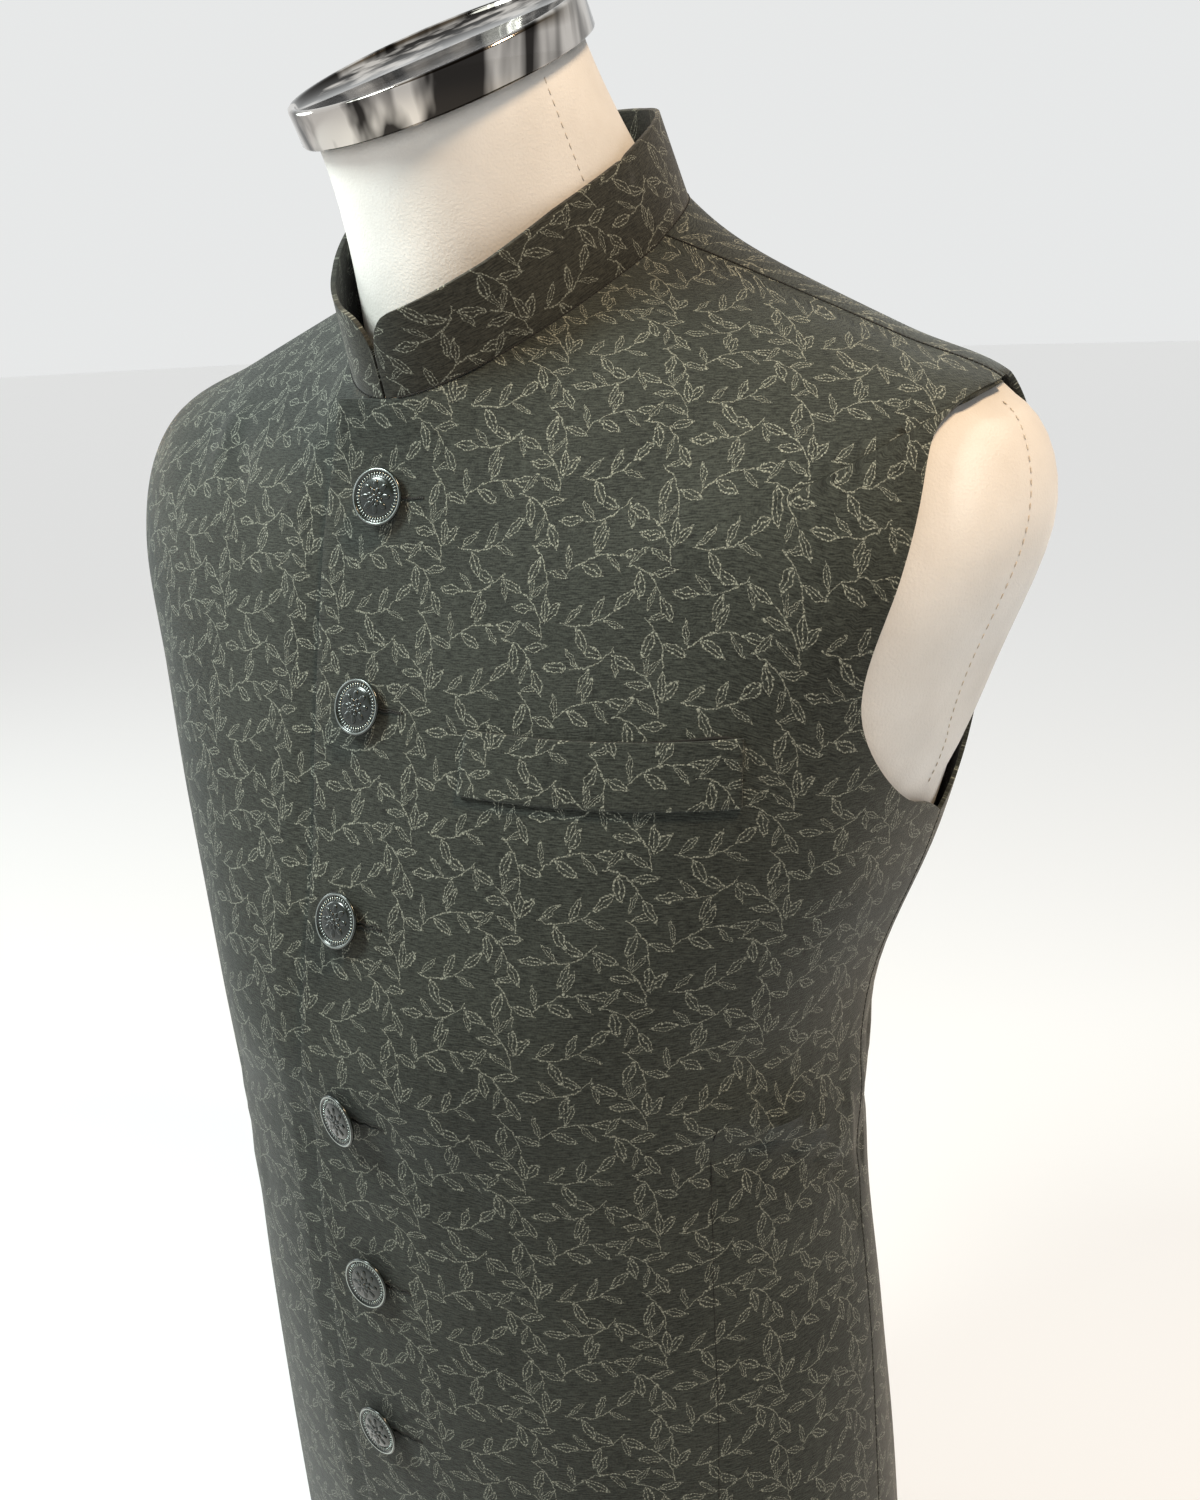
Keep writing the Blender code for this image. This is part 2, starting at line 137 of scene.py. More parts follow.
def normal(theta, level):
    """The way straight out of the smooth outer face at a point."""
    low, high = max(level - NORMAL_STEP, 0.0), min(level + NORMAL_STEP, TOP)
    round_body = surface(theta + NORMAL_STEP, level) - surface(theta - NORMAL_STEP, level)
    n = np.cross(round_body, surface(theta, high) - surface(theta, low))
    return n / np.linalg.norm(n)


def arm_cap(theta, level):
    """How far the form's armhole pad bulges out at a point."""
    up = (level - PIT_LEVEL) / (TIP_LEVEL - PIT_LEVEL) * 2 - 1
    degrees = abs(math.degrees(math.remainder(theta, 2 * math.pi)))
    line = SIDE_SEAM + (SHOULDER_TIP_SEAM - SIDE_SEAM) * (up + 1) / 2
    across = (degrees - line) / (SCYE_AFT if degrees > line else SCYE_FORE)
    across *= math.sqrt(max(1 - up * up, SCYE_END)) ** (1 - SCYE_POWER[0] - SCYE_POWER[1] * up)
    reach = math.hypot(up, across) / ARM_CAP_REACH
    return ARM_CAP * max(1 - reach * reach, 0.0) ** ARM_CAP_POWER


def form_point(theta, level, lift=0.0):
    """A point of the dress form under the cloth, or so far off it."""
    degrees = math.degrees(math.remainder(theta, 2 * math.pi))
    air = float(spline(RINGS, level)[7]) + LAP_ROOM * math.exp(-(degrees / LAP_ROOM_SPREAD) ** 2)
    out = arm_cap(theta, level) - WALL - air + lift
    return surface(theta, level) + normal(theta, level) * out


def neck_axis():
    """The way the leaning neck points."""
    lean, tilt = math.radians(NECK_LEAN), math.radians(NECK_TILT)
    axis = np.array((-math.sin(tilt), -math.sin(lean), math.cos(lean) * math.cos(tilt)))
    return axis / np.linalg.norm(axis)


def neck_point(theta, u, lift=0.0):
    """A point of the neck, from the torso's top at u = 0 to its own flat top at u = 1."""
    axis = neck_axis()
    across = np.cross((0.0, 1.0, 0.0), axis)
    across /= np.linalg.norm(across)
    fore = np.cross(across, axis)
    keep = 2 * u**3 - 3 * u**2 + 1
    low = form_point(theta, TOP)
    slope = (low - form_point(theta, TOP - NECK_LOOK)) * NECK_LEAVE
    out = math.sin(theta) * across + math.cos(theta) * fore
    high = np.array(NECK_CENTRE) + NECK_R * out
    point = low * keep + high * (1 - keep)
    point += slope * (u**3 - 2 * u**2 + u) + axis * NECK_ARRIVE * (u**3 - u**2)
    return point + out * lift


def finished(name, mesh, *materials):
    """Link the mesh as one smooth piece that rides on the part."""
    for face in mesh.faces:
        face.smooth = True
    data = bpy.data.meshes.new(name)
    mesh.to_mesh(data)
    mesh.free()
    made = bpy.data.objects.new(name, data)
    bpy.context.scene.collection.objects.link(made)
    for material in materials:
        data.materials.append(material)
    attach(made, "root")
    return made


def node(tree, kind, inputs=(), **settings):
    """Add a shader node; inputs pairs a socket's name or number with a value or a socket."""
    made = tree.nodes.new("ShaderNode" + kind)
    for key, value in settings.items():
        setattr(made, key, value)
    for key, value in dict(inputs).items():
        if isinstance(value, bpy.types.NodeSocket):
            tree.links.new(value, made.inputs[key])
        else:
            made.inputs[key].default_value = value
    return made


def maths(tree, operation, *values):
    """The output of a math node on numbers or sockets."""
    return node(tree, "Math", enumerate(values), operation=operation).outputs[0]


def finish_named(name, colour, roughness, metallic=0.0, sheen=0.0):
    """A new material with its shader's plain values set."""
    material = bpy.data.materials.new(name)
    material.use_nodes = True
    shader = material.node_tree.nodes["Principled BSDF"]
    shader.inputs["Base Color"].default_value = (*colour, 1.0)
    shader.inputs["Roughness"].default_value = roughness
    shader.inputs["Metallic"].default_value = metallic
    shader.inputs["Sheen Weight"].default_value = sheen
    return material, material.node_tree, shader


form_cloth, tree, shader = finish_named("form_cloth", (0.74, 0.69, 0.62), 0.9, sheen=0.15)
place = node(tree, "TexCoord").outputs["Object"]
blotch = node(tree, "TexNoise", {"Vector": place, "Scale": 14.0, "Detail": 4.0}).outputs["Fac"]
tone = node(tree, "ValToRGB", {"Fac": blotch})
tone.color_ramp.elements[0].position = 0.3
tone.color_ramp.elements[0].color = (0.53, 0.505, 0.475, 1)
tone.color_ramp.elements[1].position = 0.7
tone.color_ramp.elements[1].color = (0.68, 0.66, 0.635, 1)
tree.links.new(tone.outputs["Color"], shader.inputs["Base Color"])
weave = node(tree, "TexNoise", {"Vector": place, "Scale": 900.0, "Detail": 2.0}).outputs["Fac"]
soft = node(tree, "TexNoise", {"Vector": place, "Scale": 60.0, "Detail": 3.0}).outputs["Fac"]
height = maths(tree, "MULTIPLY_ADD", soft, 1.5, weave)
grain = node(tree, "Bump", {"Height": height, "Strength": 0.35, "Distance": 0.0006})
tree.links.new(grain.outputs["Normal"], shader.inputs["Normal"])

form_rows = []
foot_edge = ((FOOT_ROUND, 0.0), (FOOT_ROUND * 0.3, FOOT_ROUND * 0.3), (0.0, FOOT_ROUND))
for inset, rise in foot_edge:
    row = []
    for j in range(FORM_COLUMNS):
        x, y, _ = form_point(2 * math.pi * j / FORM_COLUMNS, 0.0)
        shrink = 1 - inset / math.hypot(x, y)
        row.append((x * shrink, y * shrink, rise))
    form_rows.append(row)
for i in range(TORSO_ROWS + 1):
    level = TOP * i / TORSO_ROWS
    form_rows.append([form_point(2 * math.pi * j / FORM_COLUMNS, level) for j in range(FORM_COLUMNS)])
for i in range(1, NECK_ROWS + 1):
    u = i / NECK_ROWS
    form_rows.append([neck_point(2 * math.pi * j / FORM_COLUMNS, u) for j in range(FORM_COLUMNS)])

mesh = bmesh.new()
bmesh.ops.create_circle(mesh, segments=FORM_COLUMNS, radius=1.0, cap_ends=True)
column = mesh.verts.layers.int.new("column")
mesh.verts.ensure_lookup_table()
for k, vertex in enumerate(mesh.verts):
    vertex[column] = k
for vertex in mesh.verts:
    vertex.co = Vector(form_rows[0][vertex[column]]) * MM
edges = list(mesh.edges)
for row in form_rows[1:]:
    grown = bmesh.ops.extrude_edge_only(mesh, edges=edges)["geom"]
    edges = [g for g in grown if isinstance(g, bmesh.types.BMEdge)]
    for vertex in (g for g in grown if isinstance(g, bmesh.types.BMVert)):
        vertex.co = Vector(row[vertex[column]]) * MM
bmesh.ops.holes_fill(mesh, edges=edges, sides=0)
bmesh.ops.recalc_face_normals(mesh, faces=mesh.faces[:])
torso = finished("dress_form", mesh, form_cloth)
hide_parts("form_torso")

# ---- Dress form: sewn seams ----------------------------------------------------------------
# The cover is sewn up each side of the neck and down the middle of each armhole pad, in
# off-white thread with stitches about 3 mm long, on a seam pressed slightly proud.

seam_thread, tree, shader = finish_named("seam_thread", (0.50, 0.44, 0.37), 0.8)
STITCH = 3.0
STITCH_GAP = 1.6
THREAD_R = 0.32
PAD_SEAM_STEPS = 60
PAD_SEAM_ENDS = (PIT_LEVEL + 0.18, TIP_LEVEL - 0.12)
PAD_SEAM_LINE = 92.0
PAD_SEAM_BOW = 5.0
PAD_SEAM_LIFT = 0.15
NECK_SEAM_LINE = 78.0
NECK_SEAM_STEPS = 30
NECK_SEAM_FROM = 8
NECK_SEAM_LIFT = 0.1


def stitch_and_shade_row(mesh, points, stitch, gap, radius):
    """Short bowed dashes along a line of points, as thread stitches and as painted seam shade."""
    points = [np.asarray(p, float) for p in points]
    run = [0.0]
    for a, b in zip(points, points[1:]):
        run.append(run[-1] + float(np.linalg.norm(b - a)))
    flat = np.array(points)
    at = 0.0
    while at + stitch < run[-1]:
        ends = [np.array([np.interp(stop, run, flat[:, k]) for k in range(3)])
                for stop in (at, at + stitch)]
        along = Vector(ends[1] - ends[0]).normalized()
        turn = Vector((0, 0, 1)).rotation_difference(along).to_matrix().to_4x4()
        turn.translation = Vector((ends[0] + ends[1]) / 2) * MM
        bmesh.ops.create_icosphere(
            mesh, subdivisions=1, radius=1.0,
            matrix=turn @ Matrix.Diagonal((radius * MM, radius * MM, stitch / 2 * MM, 1.0)))
        at += stitch + gap


mesh = bmesh.new()
for side in (-1, 1):
    pad = []
    for i in range(PAD_SEAM_STEPS + 1):
        u = i / PAD_SEAM_STEPS
        level = PAD_SEAM_ENDS[0] + (PAD_SEAM_ENDS[1] - PAD_SEAM_ENDS[0]) * u
        line = PAD_SEAM_LINE - PAD_SEAM_BOW * math.sin(math.pi * u)
        pad.append(form_point(side * math.radians(line), level, PAD_SEAM_LIFT))
    stitch_and_shade_row(mesh, pad, STITCH, STITCH_GAP, THREAD_R)
    line = side * math.radians(NECK_SEAM_LINE)
    steps = range(NECK_SEAM_FROM, NECK_SEAM_STEPS + 1)
    neck = [neck_point(line, i / NECK_SEAM_STEPS, NECK_SEAM_LIFT) for i in steps]
    stitch_and_shade_row(mesh, neck, STITCH, STITCH_GAP, THREAD_R)
seams = finished("form_seams", mesh, seam_thread)

# ---- Neck cap ------------------------------------------------------------------------------
# A polished metal cap pressed over the top of the neck: a straight side with rolled edges and
# a flat top plate set a little below its rim.

CAP_R = 67.0
CAP_HEIGHT = 17.0
CAP_RIM = 3.0
CAP_DISH = 2.5
CAP_STEPS = 160
CAP_PROFILE = (
    (0.0, 0.3), (CAP_R - 1.2, 0.3), (CAP_R - 0.4, 0.6), (CAP_R, 1.4), (CAP_R, CAP_HEIGHT - 1.6),
    (CAP_R - 0.4, CAP_HEIGHT - 0.5), (CAP_R - 1.3, CAP_HEIGHT), (CAP_R - CAP_RIM, CAP_HEIGHT - 0.1),
    (CAP_R - CAP_RIM - 0.6, CAP_HEIGHT - 0.7), (CAP_R - CAP_RIM - 1.2, CAP_HEIGHT - CAP_DISH),
    (0.0, CAP_HEIGHT - CAP_DISH),
)

cap_chrome, tree, shader = finish_named("cap_chrome", (0.62, 0.62, 0.64), 0.07, 1.0)
place = node(tree, "TexCoord").outputs["Object"]
# painted reflection: stretched noise paints upright dark and bright streaks into the chrome's colour,
# standing in for the shop it reflects
reflection_stretch = node(tree, "Mapping", {"Vector": place, "Scale": (55.0, 55.0, 6.0)}).outputs[0]
painted_reflection_streaks = node(tree, "TexNoise", {"Vector": reflection_stretch, "Scale": 1.0, "Detail": 3.0}).outputs["Fac"]
tone = node(tree, "ValToRGB", {"Fac": painted_reflection_streaks})
tone.color_ramp.elements[0].position = 0.47
tone.color_ramp.elements[0].color = (0.030, 0.027, 0.025, 1)
tone.color_ramp.elements[1].position = 0.62
tone.color_ramp.elements[1].color = (0.62, 0.58, 0.54, 1)
tree.links.new(tone.outputs["Color"], shader.inputs["Base Color"])
smear = node(tree, "TexNoise", {"Vector": place, "Scale": 40.0, "Detail": 4.0}).outputs["Fac"]
tree.links.new(maths(tree, "MULTIPLY_ADD", smear, 0.12, 0.02), shader.inputs["Roughness"])


def upright_place(foot, out):
    """The matrix that stands a piece on a point with its own Z along the way out."""
    across = Vector((0, 0, 1)).cross(out).normalized()
    made = Matrix((across, out.cross(across), out)).transposed().to_4x4()
    made.translation = foot
    return made


def turned(mesh, profile, steps):
    """Spin a (radius, height) profile about Z into a closed shape."""
    line = [mesh.verts.new((radius * MM, 0.0, height * MM)) for radius, height in profile]
    edges = [mesh.edges.new(pair) for pair in zip(line, line[1:])]
    bmesh.ops.spin(mesh, geom=line + edges, cent=(0, 0, 0), axis=(0, 0, 1), dvec=(0, 0, 0),
                   angle=2 * math.pi, steps=steps, use_merge=True, use_duplicate=False)
    bmesh.ops.remove_doubles(mesh, verts=mesh.verts[:], dist=1e-6)
    bmesh.ops.recalc_face_normals(mesh, faces=mesh.faces[:])


mesh = bmesh.new()
turned(mesh, CAP_PROFILE, CAP_STEPS)
cap_place = upright_place(Vector(NECK_CENTRE) * MM, Vector(neck_axis()))
bmesh.ops.transform(mesh, matrix=cap_place, verts=mesh.verts[:])
cap = finished("metal_neck_cap", mesh, cap_chrome)
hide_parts("neck_cap")

# ---- Jacket cloth --------------------------------------------------------------------------
# Dark grey-green suiting with a fine cross rib, and a vine of small pointed leaves woven into
# it in a lighter twisted yarn. The figure repeats 56 mm across and 60 mm up, in half drop.

REPEAT_ACROSS = 56.0
REPEAT_UP = 60.0
WANDER = 3.0
# each sprig's stem: its middle, the degrees it heads, its half length and its bow
SPRIGS = (
    (-17, -20, 20, 12, 3),
    (-13, 2, 203, 11, 3),
    (-17, 18, 12, 12, -3),
    (13, -12, 120, 11, -3),
    (14, 8, 296, 11, 3),
    (7, 33, 325, 10, 3),
)
# each leaf on a stem: share of the half length, degrees it spreads, its length and its width
LEAVES = (
    (-0.90, 55, 11.5, 3.0),
    (-0.45, -60, 12.5, 4.8),
    (0.15, 50, 12.0, 3.8),
    (0.60, -50, 11.0, 2.6),
    (1.00, 5, 12.5, 4.4),
)
LEAF_FOOT = 0.4
# the drawing of a stem and of a leaf in its own coordinates, which run from -1 to 1
COVER = 1.041
STEM_ROOM = 1.25
STEM_HALF = 0.075
STEM_TWIST = 62.0
LEAF_POINT = 1.8
LEAF_RIM = 0.24
LEAF_RIB = 0.10
LEAF_RIB_END = 0.86
LEAF_TWIST = 27.0

jacquard, tree, shader = finish_named("jacquard", (0.05, 0.055, 0.048), 0.78, sheen=0.15)
shader.inputs["Sheen Roughness"].default_value = 0.4
shader.inputs["Specular IOR Level"].default_value = 0.18
cut = node(tree, "UVMap", uv_map="cut").outputs["UV"]
flat = node(tree, "VectorMath", {0: cut, "Scale": 1000.0}, operation="SCALE").outputs[0]
wander = node(tree, "TexNoise", {"Vector": flat, "Scale": 0.34, "Detail": 2.0}).outputs["Color"]
wander = node(tree, "VectorMath", {0: wander, 1: (-0.5, -0.5, -0.5)}, operation="ADD").outputs[0]
loose = node(tree, "VectorMath", {0: wander, 1: (WANDER, WANDER, 0.0), 2: flat},
             operation="MULTIPLY_ADD").outputs[0]
flat_axes = node(tree, "SeparateXYZ", {0: loose})
across, up = flat_axes.outputs[0], flat_axes.outputs[1]
drop = maths(tree, "FLOOR", maths(tree, "DIVIDE", across, REPEAT_ACROSS))
fallen = maths(tree, "SUBTRACT", up, maths(tree, "MULTIPLY", drop, REPEAT_UP / 2))
cell_x = maths(tree, "FLOORED_MODULO", across, REPEAT_ACROSS)
cell_x = maths(tree, "SUBTRACT", cell_x, REPEAT_ACROSS / 2)
cell_y = maths(tree, "FLOORED_MODULO", fallen, REPEAT_UP)
cell_y = maths(tree, "SUBTRACT", cell_y, REPEAT_UP / 2)
cell = node(tree, "CombineXYZ", {0: cell_x, 1: cell_y}).outputs[0]


def copies(x, y, reach):
    """The places of a shape that reaches into the repeat, from it and its neighbours."""
    found = []
    for i in (-1, 0, 1):
        for j in (-2, -1, 0, 1, 2):
            px = x + i * REPEAT_ACROSS
            py = y + (i / 2 + j) * REPEAT_UP
            if abs(px) < REPEAT_ACROSS / 2 + reach and abs(py) < REPEAT_UP / 2 + reach:
                found.append((px, py))
    return found


def stamp(places, base):
    """Own coordinates of the last of the shapes that covers the point, or else the base."""
    held = base
    for x, y, turn, half_long, half_wide in places:
        own = node(tree, "Mapping", {"Vector": cell, "Location": (x, y, 0.0),
                                     "Rotation": (0, 0, turn),
                                     "Scale": (half_long, half_wide, 1.0)}, vector_type="TEXTURE")
        near = node(tree, "VectorMath", {0: own.outputs[0]}, operation="LENGTH").outputs["Value"]
        inside = maths(tree, "LESS_THAN", near, COVER)
        held = node(tree, "Mix", {"Factor": inside, 4: held, 5: own.outputs[0]},
                    data_type="VECTOR").outputs[1]
    return held


stems, leaves = [], []
for x, y, degrees, half_long, bow in SPRIGS:
    heading = math.radians(degrees)
    c, s = math.cos(heading), math.sin(heading)
    for px, py in copies(x, y, half_long):
        stems.append((px, py, heading, half_long, bow * STEM_ROOM))
    for share, spread, length, width in LEAVES:
        lead = math.atan2(-2 * bow * share / half_long, 1.0) + math.radians(spread)
        own_x = half_long * share + math.cos(lead) * (length / 2 + LEAF_FOOT)
        own_y = bow * (1 - share * share) + math.sin(lead) * (length / 2 + LEAF_FOOT)
        for px, py in copies(x + c * own_x - s * own_y, y + s * own_x + c * own_y, length / 2):
            leaves.append((px, py, heading + lead, length / 2, width / 2))

# a place well outside any stem or leaf
nothing = node(tree, "CombineXYZ", {0: 5.0}).outputs[0]
stem_axes = node(tree, "SeparateXYZ", {0: stamp(stems, nothing)})
sx, sy = stem_axes.outputs[0], stem_axes.outputs[1]
arc = maths(tree, "SUBTRACT", 1.0, maths(tree, "MULTIPLY", sx, sx))
arc = maths(tree, "MULTIPLY", arc, 1.0 / STEM_ROOM)
off_stem = maths(tree, "ABSOLUTE", maths(tree, "SUBTRACT", sy, arc))
on_stem = maths(tree, "LESS_THAN", off_stem, STEM_HALF)
within = maths(tree, "LESS_THAN", maths(tree, "ABSOLUTE", sx), 1.0)
on_stem = maths(tree, "MULTIPLY", on_stem, within)
stem_rope = maths(tree, "SINE", maths(tree, "MULTIPLY", sx, STEM_TWIST))
stem_rope = maths(tree, "MULTIPLY_ADD", stem_rope, 0.35, 0.62)
stem_mark = maths(tree, "MULTIPLY", on_stem, stem_rope)

leaf_axes = node(tree, "SeparateXYZ", {0: stamp(leaves, nothing)})
lx, ly = leaf_axes.outputs[0], leaf_axes.outputs[1]
long_x = maths(tree, "MINIMUM", maths(tree, "ABSOLUTE", lx), 1.2)
side_y = maths(tree, "ABSOLUTE", ly)
edge = maths(tree, "SUBTRACT", 1.0, maths(tree, "POWER", long_x, LEAF_POINT))
depth = maths(tree, "SUBTRACT", edge, side_y)
rim = maths(tree, "MULTIPLY", maths(tree, "GREATER_THAN", depth, 0.0),
            maths(tree, "LESS_THAN", depth, LEAF_RIM))
rib = maths(tree, "MULTIPLY", maths(tree, "LESS_THAN", side_y, LEAF_RIB),
            maths(tree, "LESS_THAN", long_x, LEAF_RIB_END))
drawn = maths(tree, "MAXIMUM", rim, rib)
twist = maths(tree, "MULTIPLY_ADD", lx, LEAF_TWIST, maths(tree, "MULTIPLY", ly, 3.0))
rope = maths(tree, "MULTIPLY_ADD", maths(tree, "SINE", twist), 0.5, 0.65)
leaf_mark = maths(tree, "MULTIPLY", drawn, rope)
worn = node(tree, "TexNoise", {"Vector": flat, "Scale": 0.9, "Detail": 1.0}).outputs["Fac"]
worn = maths(tree, "MULTIPLY_ADD", worn, 2.6, -0.45)
figure = maths(tree, "MULTIPLY", maths(tree, "MAXIMUM", leaf_mark, stem_mark), worn)
figure = maths(tree, "MAXIMUM", maths(tree, "MINIMUM", figure, 1.0), 0.0)

slub = node(tree, "Mapping", {"Vector": flat, "Scale": (0.22, 1.7, 1.0)}).outputs[0]
slub = node(tree, "TexNoise", {"Vector": slub, "Scale": 1.0, "Detail": 2.0}).outputs["Fac"]
fleck = node(tree, "TexNoise", {"Vector": flat, "Scale": 1.1, "Detail": 2.0}).outputs["Fac"]
cloudy = node(tree, "TexNoise", {"Vector": flat, "Scale": 0.02, "Detail": 1.0}).outputs["Fac"]
shade = maths(tree, "MULTIPLY_ADD", slub, 0.6, maths(tree, "MULTIPLY", fleck, 0.3))
shade = maths(tree, "MULTIPLY_ADD", cloudy, 0.1, shade)
ground = node(tree, "ValToRGB", {"Fac": shade})
ground.color_ramp.elements[0].position = 0.40
ground.color_ramp.elements[0].color = (0.0085, 0.0100, 0.0084, 1)
ground.color_ramp.elements[1].position = 0.62
ground.color_ramp.elements[1].color = (0.040, 0.0455, 0.0385, 1)
yarn = node(tree, "Mix", {"Factor": figure, 6: ground.outputs["Color"], 7: (0.23, 0.24, 0.20, 1)},
            data_type="RGBA")
tree.links.new(yarn.outputs[2], shader.inputs["Base Color"])
lift = maths(tree, "MULTIPLY_ADD", slub, 0.8, fleck)
raised = node(tree, "Bump", {"Height": lift, "Strength": 0.5, "Distance": 0.0004})
tree.links.new(raised.outputs["Normal"], shader.inputs["Normal"])

# ---- Back ----------------------------------------------------------------------------------
# One panel from side seam to side seam, cut on the straight grain, with its armholes and neck
# shaped. Face cloth, interlining and lining are bagged out together, so its edges are soft.

PIT_ROWS = 40
SCYE_ROWS = 56
YOKE_ROWS = 30
HALF_SEAM = 0.15
SEAM_STEP = 0.004
TURNED_EDGE = 0.7
# the least share of a row's climb that counts as height up the grain
GRAIN_LEAST = 0.35
# about how many millimetres a degree round the body and a level up it come to
MM_PER_DEGREE = 2.9
MM_PER_LEVEL = 88.0
# the share of a fold's height that it keeps at the two ends of its run, and how many spreads
# away from its run it ends
FOLD_END = 0.25
FOLD_REACH = 3
# soft folds in the worn cloth: height, spread, then its run as degrees and levels
FOLDS = [
    (7.5, 8.0, (57.0, 3.74), (66.0, 3.69), (78.0, 3.58), (88.0, 3.36), (93.0, 3.05)),
    (-3.8, 5.5, (57.0, 3.54), (72.0, 3.44), (84.0, 3.24), (91.0, 2.98), (95.0, 2.72)),
    (-2.2, 7.0, (64.0, 4.02), (74.0, 3.94), (86.0, 3.84)),
    (1.2, 9.0, (70.0, 3.20), (82.0, 2.95), (90.0, 2.65)),
    (1.8, 8.0, (-57.0, 9.30), (-46.0, 9.02), (-39.0, 8.65)),
    (-1.3, 8.0, (-51.0, 9.35), (-38.0, 9.10), (-29.0, 8.70)),
    (-1.0, 10.0, (40.0, 4.60), (52.0, 4.25), (62.0, 3.95)),
    (2.0, 14.0, (-62.0, 3.72), (-76.0, 3.62), (-90.0, 3.30)),
    (-2.0, 10.0, (-64.0, 3.45), (-79.0, 3.30), (-92.0, 2.95)),
    (1.0, 12.0, (66.0, 5.40), (74.0, 5.00), (88.0, 4.75)),
    (1.6, 16.0, (150.0, 3.95), (172.0, 3.72), (196.0, 3.80), (212.0, 4.05)),
    (-2.0, 12.0, (144.0, 3.55), (170.0, 3.36), (200.0, 3.42), (218.0, 3.70)),
    (1.4, 14.0, (122.0, 3.30), (138.0, 3.05), (150.0, 2.60)),
    (-1.5, 11.0, (-118.0, 3.50), (-134.0, 3.10), (-146.0, 2.60)),
    (1.2, 18.0, (160.0, 9.60), (166.0, 8.40), (164.0, 7.20)),
    (-1.0, 14.0, (196.0, 9.40), (190.0, 8.20), (194.0, 7.00)),
    (1.2, 20.0, (128.0, 1.90), (130.0, 0.90), (129.0, 0.00)),
    (-1.2, 18.0, (-136.0, 1.80), (-138.0, 0.90), (-137.0, 0.00)),
    (1.0, 20.0, (72.0, 1.60), (74.0, 0.80), (74.0, 0.00)),
    (-1.0, 18.0, (-70.0, 1.70), (-72.0, 0.80), (-72.0, 0.00)),
    (0.9, 22.0, (34.0, 2.60), (36.0, 1.50), (35.0, 0.30)),
    (-1.1, 5.0, (61.6, 3.60), (57.2, 1.90), (52.8, 0.10), (52.0, -2.0)),
    (-1.1, 5.0, (-61.0, 3.60), (-57.0, 1.90), (-53.0, 0.10), (-52.5, -2.0)),
]


def fold(theta, level):
    """How far the soft folds lift the cloth at a point, in millimetres."""
    degrees = math.degrees(theta)
    lift = 0.0
    for height, spread, *run in FOLDS:
        best, share_at = 1e9, 0.0
        for n, (a, b) in enumerate(zip(run, run[1:])):
            bring = [math.remainder(p[0] - degrees, 360.0) * MM_PER_DEGREE for p in (a, b)]
            rise = [(p[1] - level) * MM_PER_LEVEL for p in (a, b)]
            dx, dz = bring[1] - bring[0], rise[1] - rise[0]
            t = min(max(-(bring[0] * dx + rise[0] * dz) / (dx * dx + dz * dz), 0.0), 1.0)
            d = math.hypot(bring[0] + dx * t, rise[0] + dz * t)
            if d < best:
                best, share_at = d, (n + t) / (len(run) - 1)
        if best < FOLD_REACH * spread:
            taper = FOLD_END + (1 - FOLD_END) * math.sin(math.pi * share_at)
            lift += height * taper * math.exp(-(best / spread) ** 2)
    return lift


def lifted(theta, level, lift):
    """A point of the folded cloth's outer face, or so far off it."""
    return surface(theta, level) + normal(theta, level) * (lift + fold(theta, level))


def body_levels():
    """Each row of the body panels: its level, and where the fronts end and the back begins."""
    entries = []
    for i in range(PIT_ROWS):
        entries.append((PIT_LEVEL * i / PIT_ROWS, math.radians(SIDE_SEAM), math.radians(SIDE_SEAM)))
    for i in range(SCYE_ROWS + 1):
        phi = math.pi * (i / SCYE_ROWS - 0.5)
        up = (math.sin(phi) + 1) / 2
        line = SIDE_SEAM + (SHOULDER_TIP_SEAM - SIDE_SEAM) * up
        cut = max(math.cos(phi), 0.0) ** (SCYE_POWER[0] + SCYE_POWER[1] * math.sin(phi))
        level = PIT_LEVEL + (TIP_LEVEL - PIT_LEVEL) * up
        fore, aft = line - SCYE_FORE * cut, line + SCYE_AFT * cut
        entries.append((level, math.radians(fore), math.radians(aft)))
    for i in range(1, YOKE_ROWS + 1):
        level = TIP_LEVEL + (TOP - TIP_LEVEL) * i / YOKE_ROWS
        line = SHOULDER_TIP_SEAM + (SHOULDER_NECK_SEAM - SHOULDER_TIP_SEAM) * i / YOKE_ROWS
        entries.append((level, math.radians(line), math.radians(line)))
    return entries


LEVELS = body_levels()


def seam_turn(theta, level):
    """Half the air of a seam, as an angle round the body."""
    travel = np.linalg.norm(surface(theta + SEAM_STEP, level) - surface(theta - SEAM_STEP, level))
    return HALF_SEAM * (2 * SEAM_STEP) / travel


def cut_out(grid, middle):
    """Lay the panel flat: lengths across from its middle column, and lengths up the grain."""
    grid = np.array(grid)
    rows, cols = grid.shape[:2]
    across = np.zeros((rows, cols))
    steps = np.linalg.norm(np.diff(grid, axis=1), axis=2)
    across[:, 1:] = np.cumsum(steps, axis=1)
    across -= across[:, middle:middle + 1]
    climb = np.linalg.norm(np.diff(grid, axis=0), axis=2)
    shift = np.diff(across, axis=0)
    straight = np.sqrt(np.maximum(climb**2 - shift**2, (GRAIN_LEAST * climb) ** 2))
    up = np.zeros((rows, cols))
    up[1:] = np.cumsum(straight, axis=0)
    return across, up


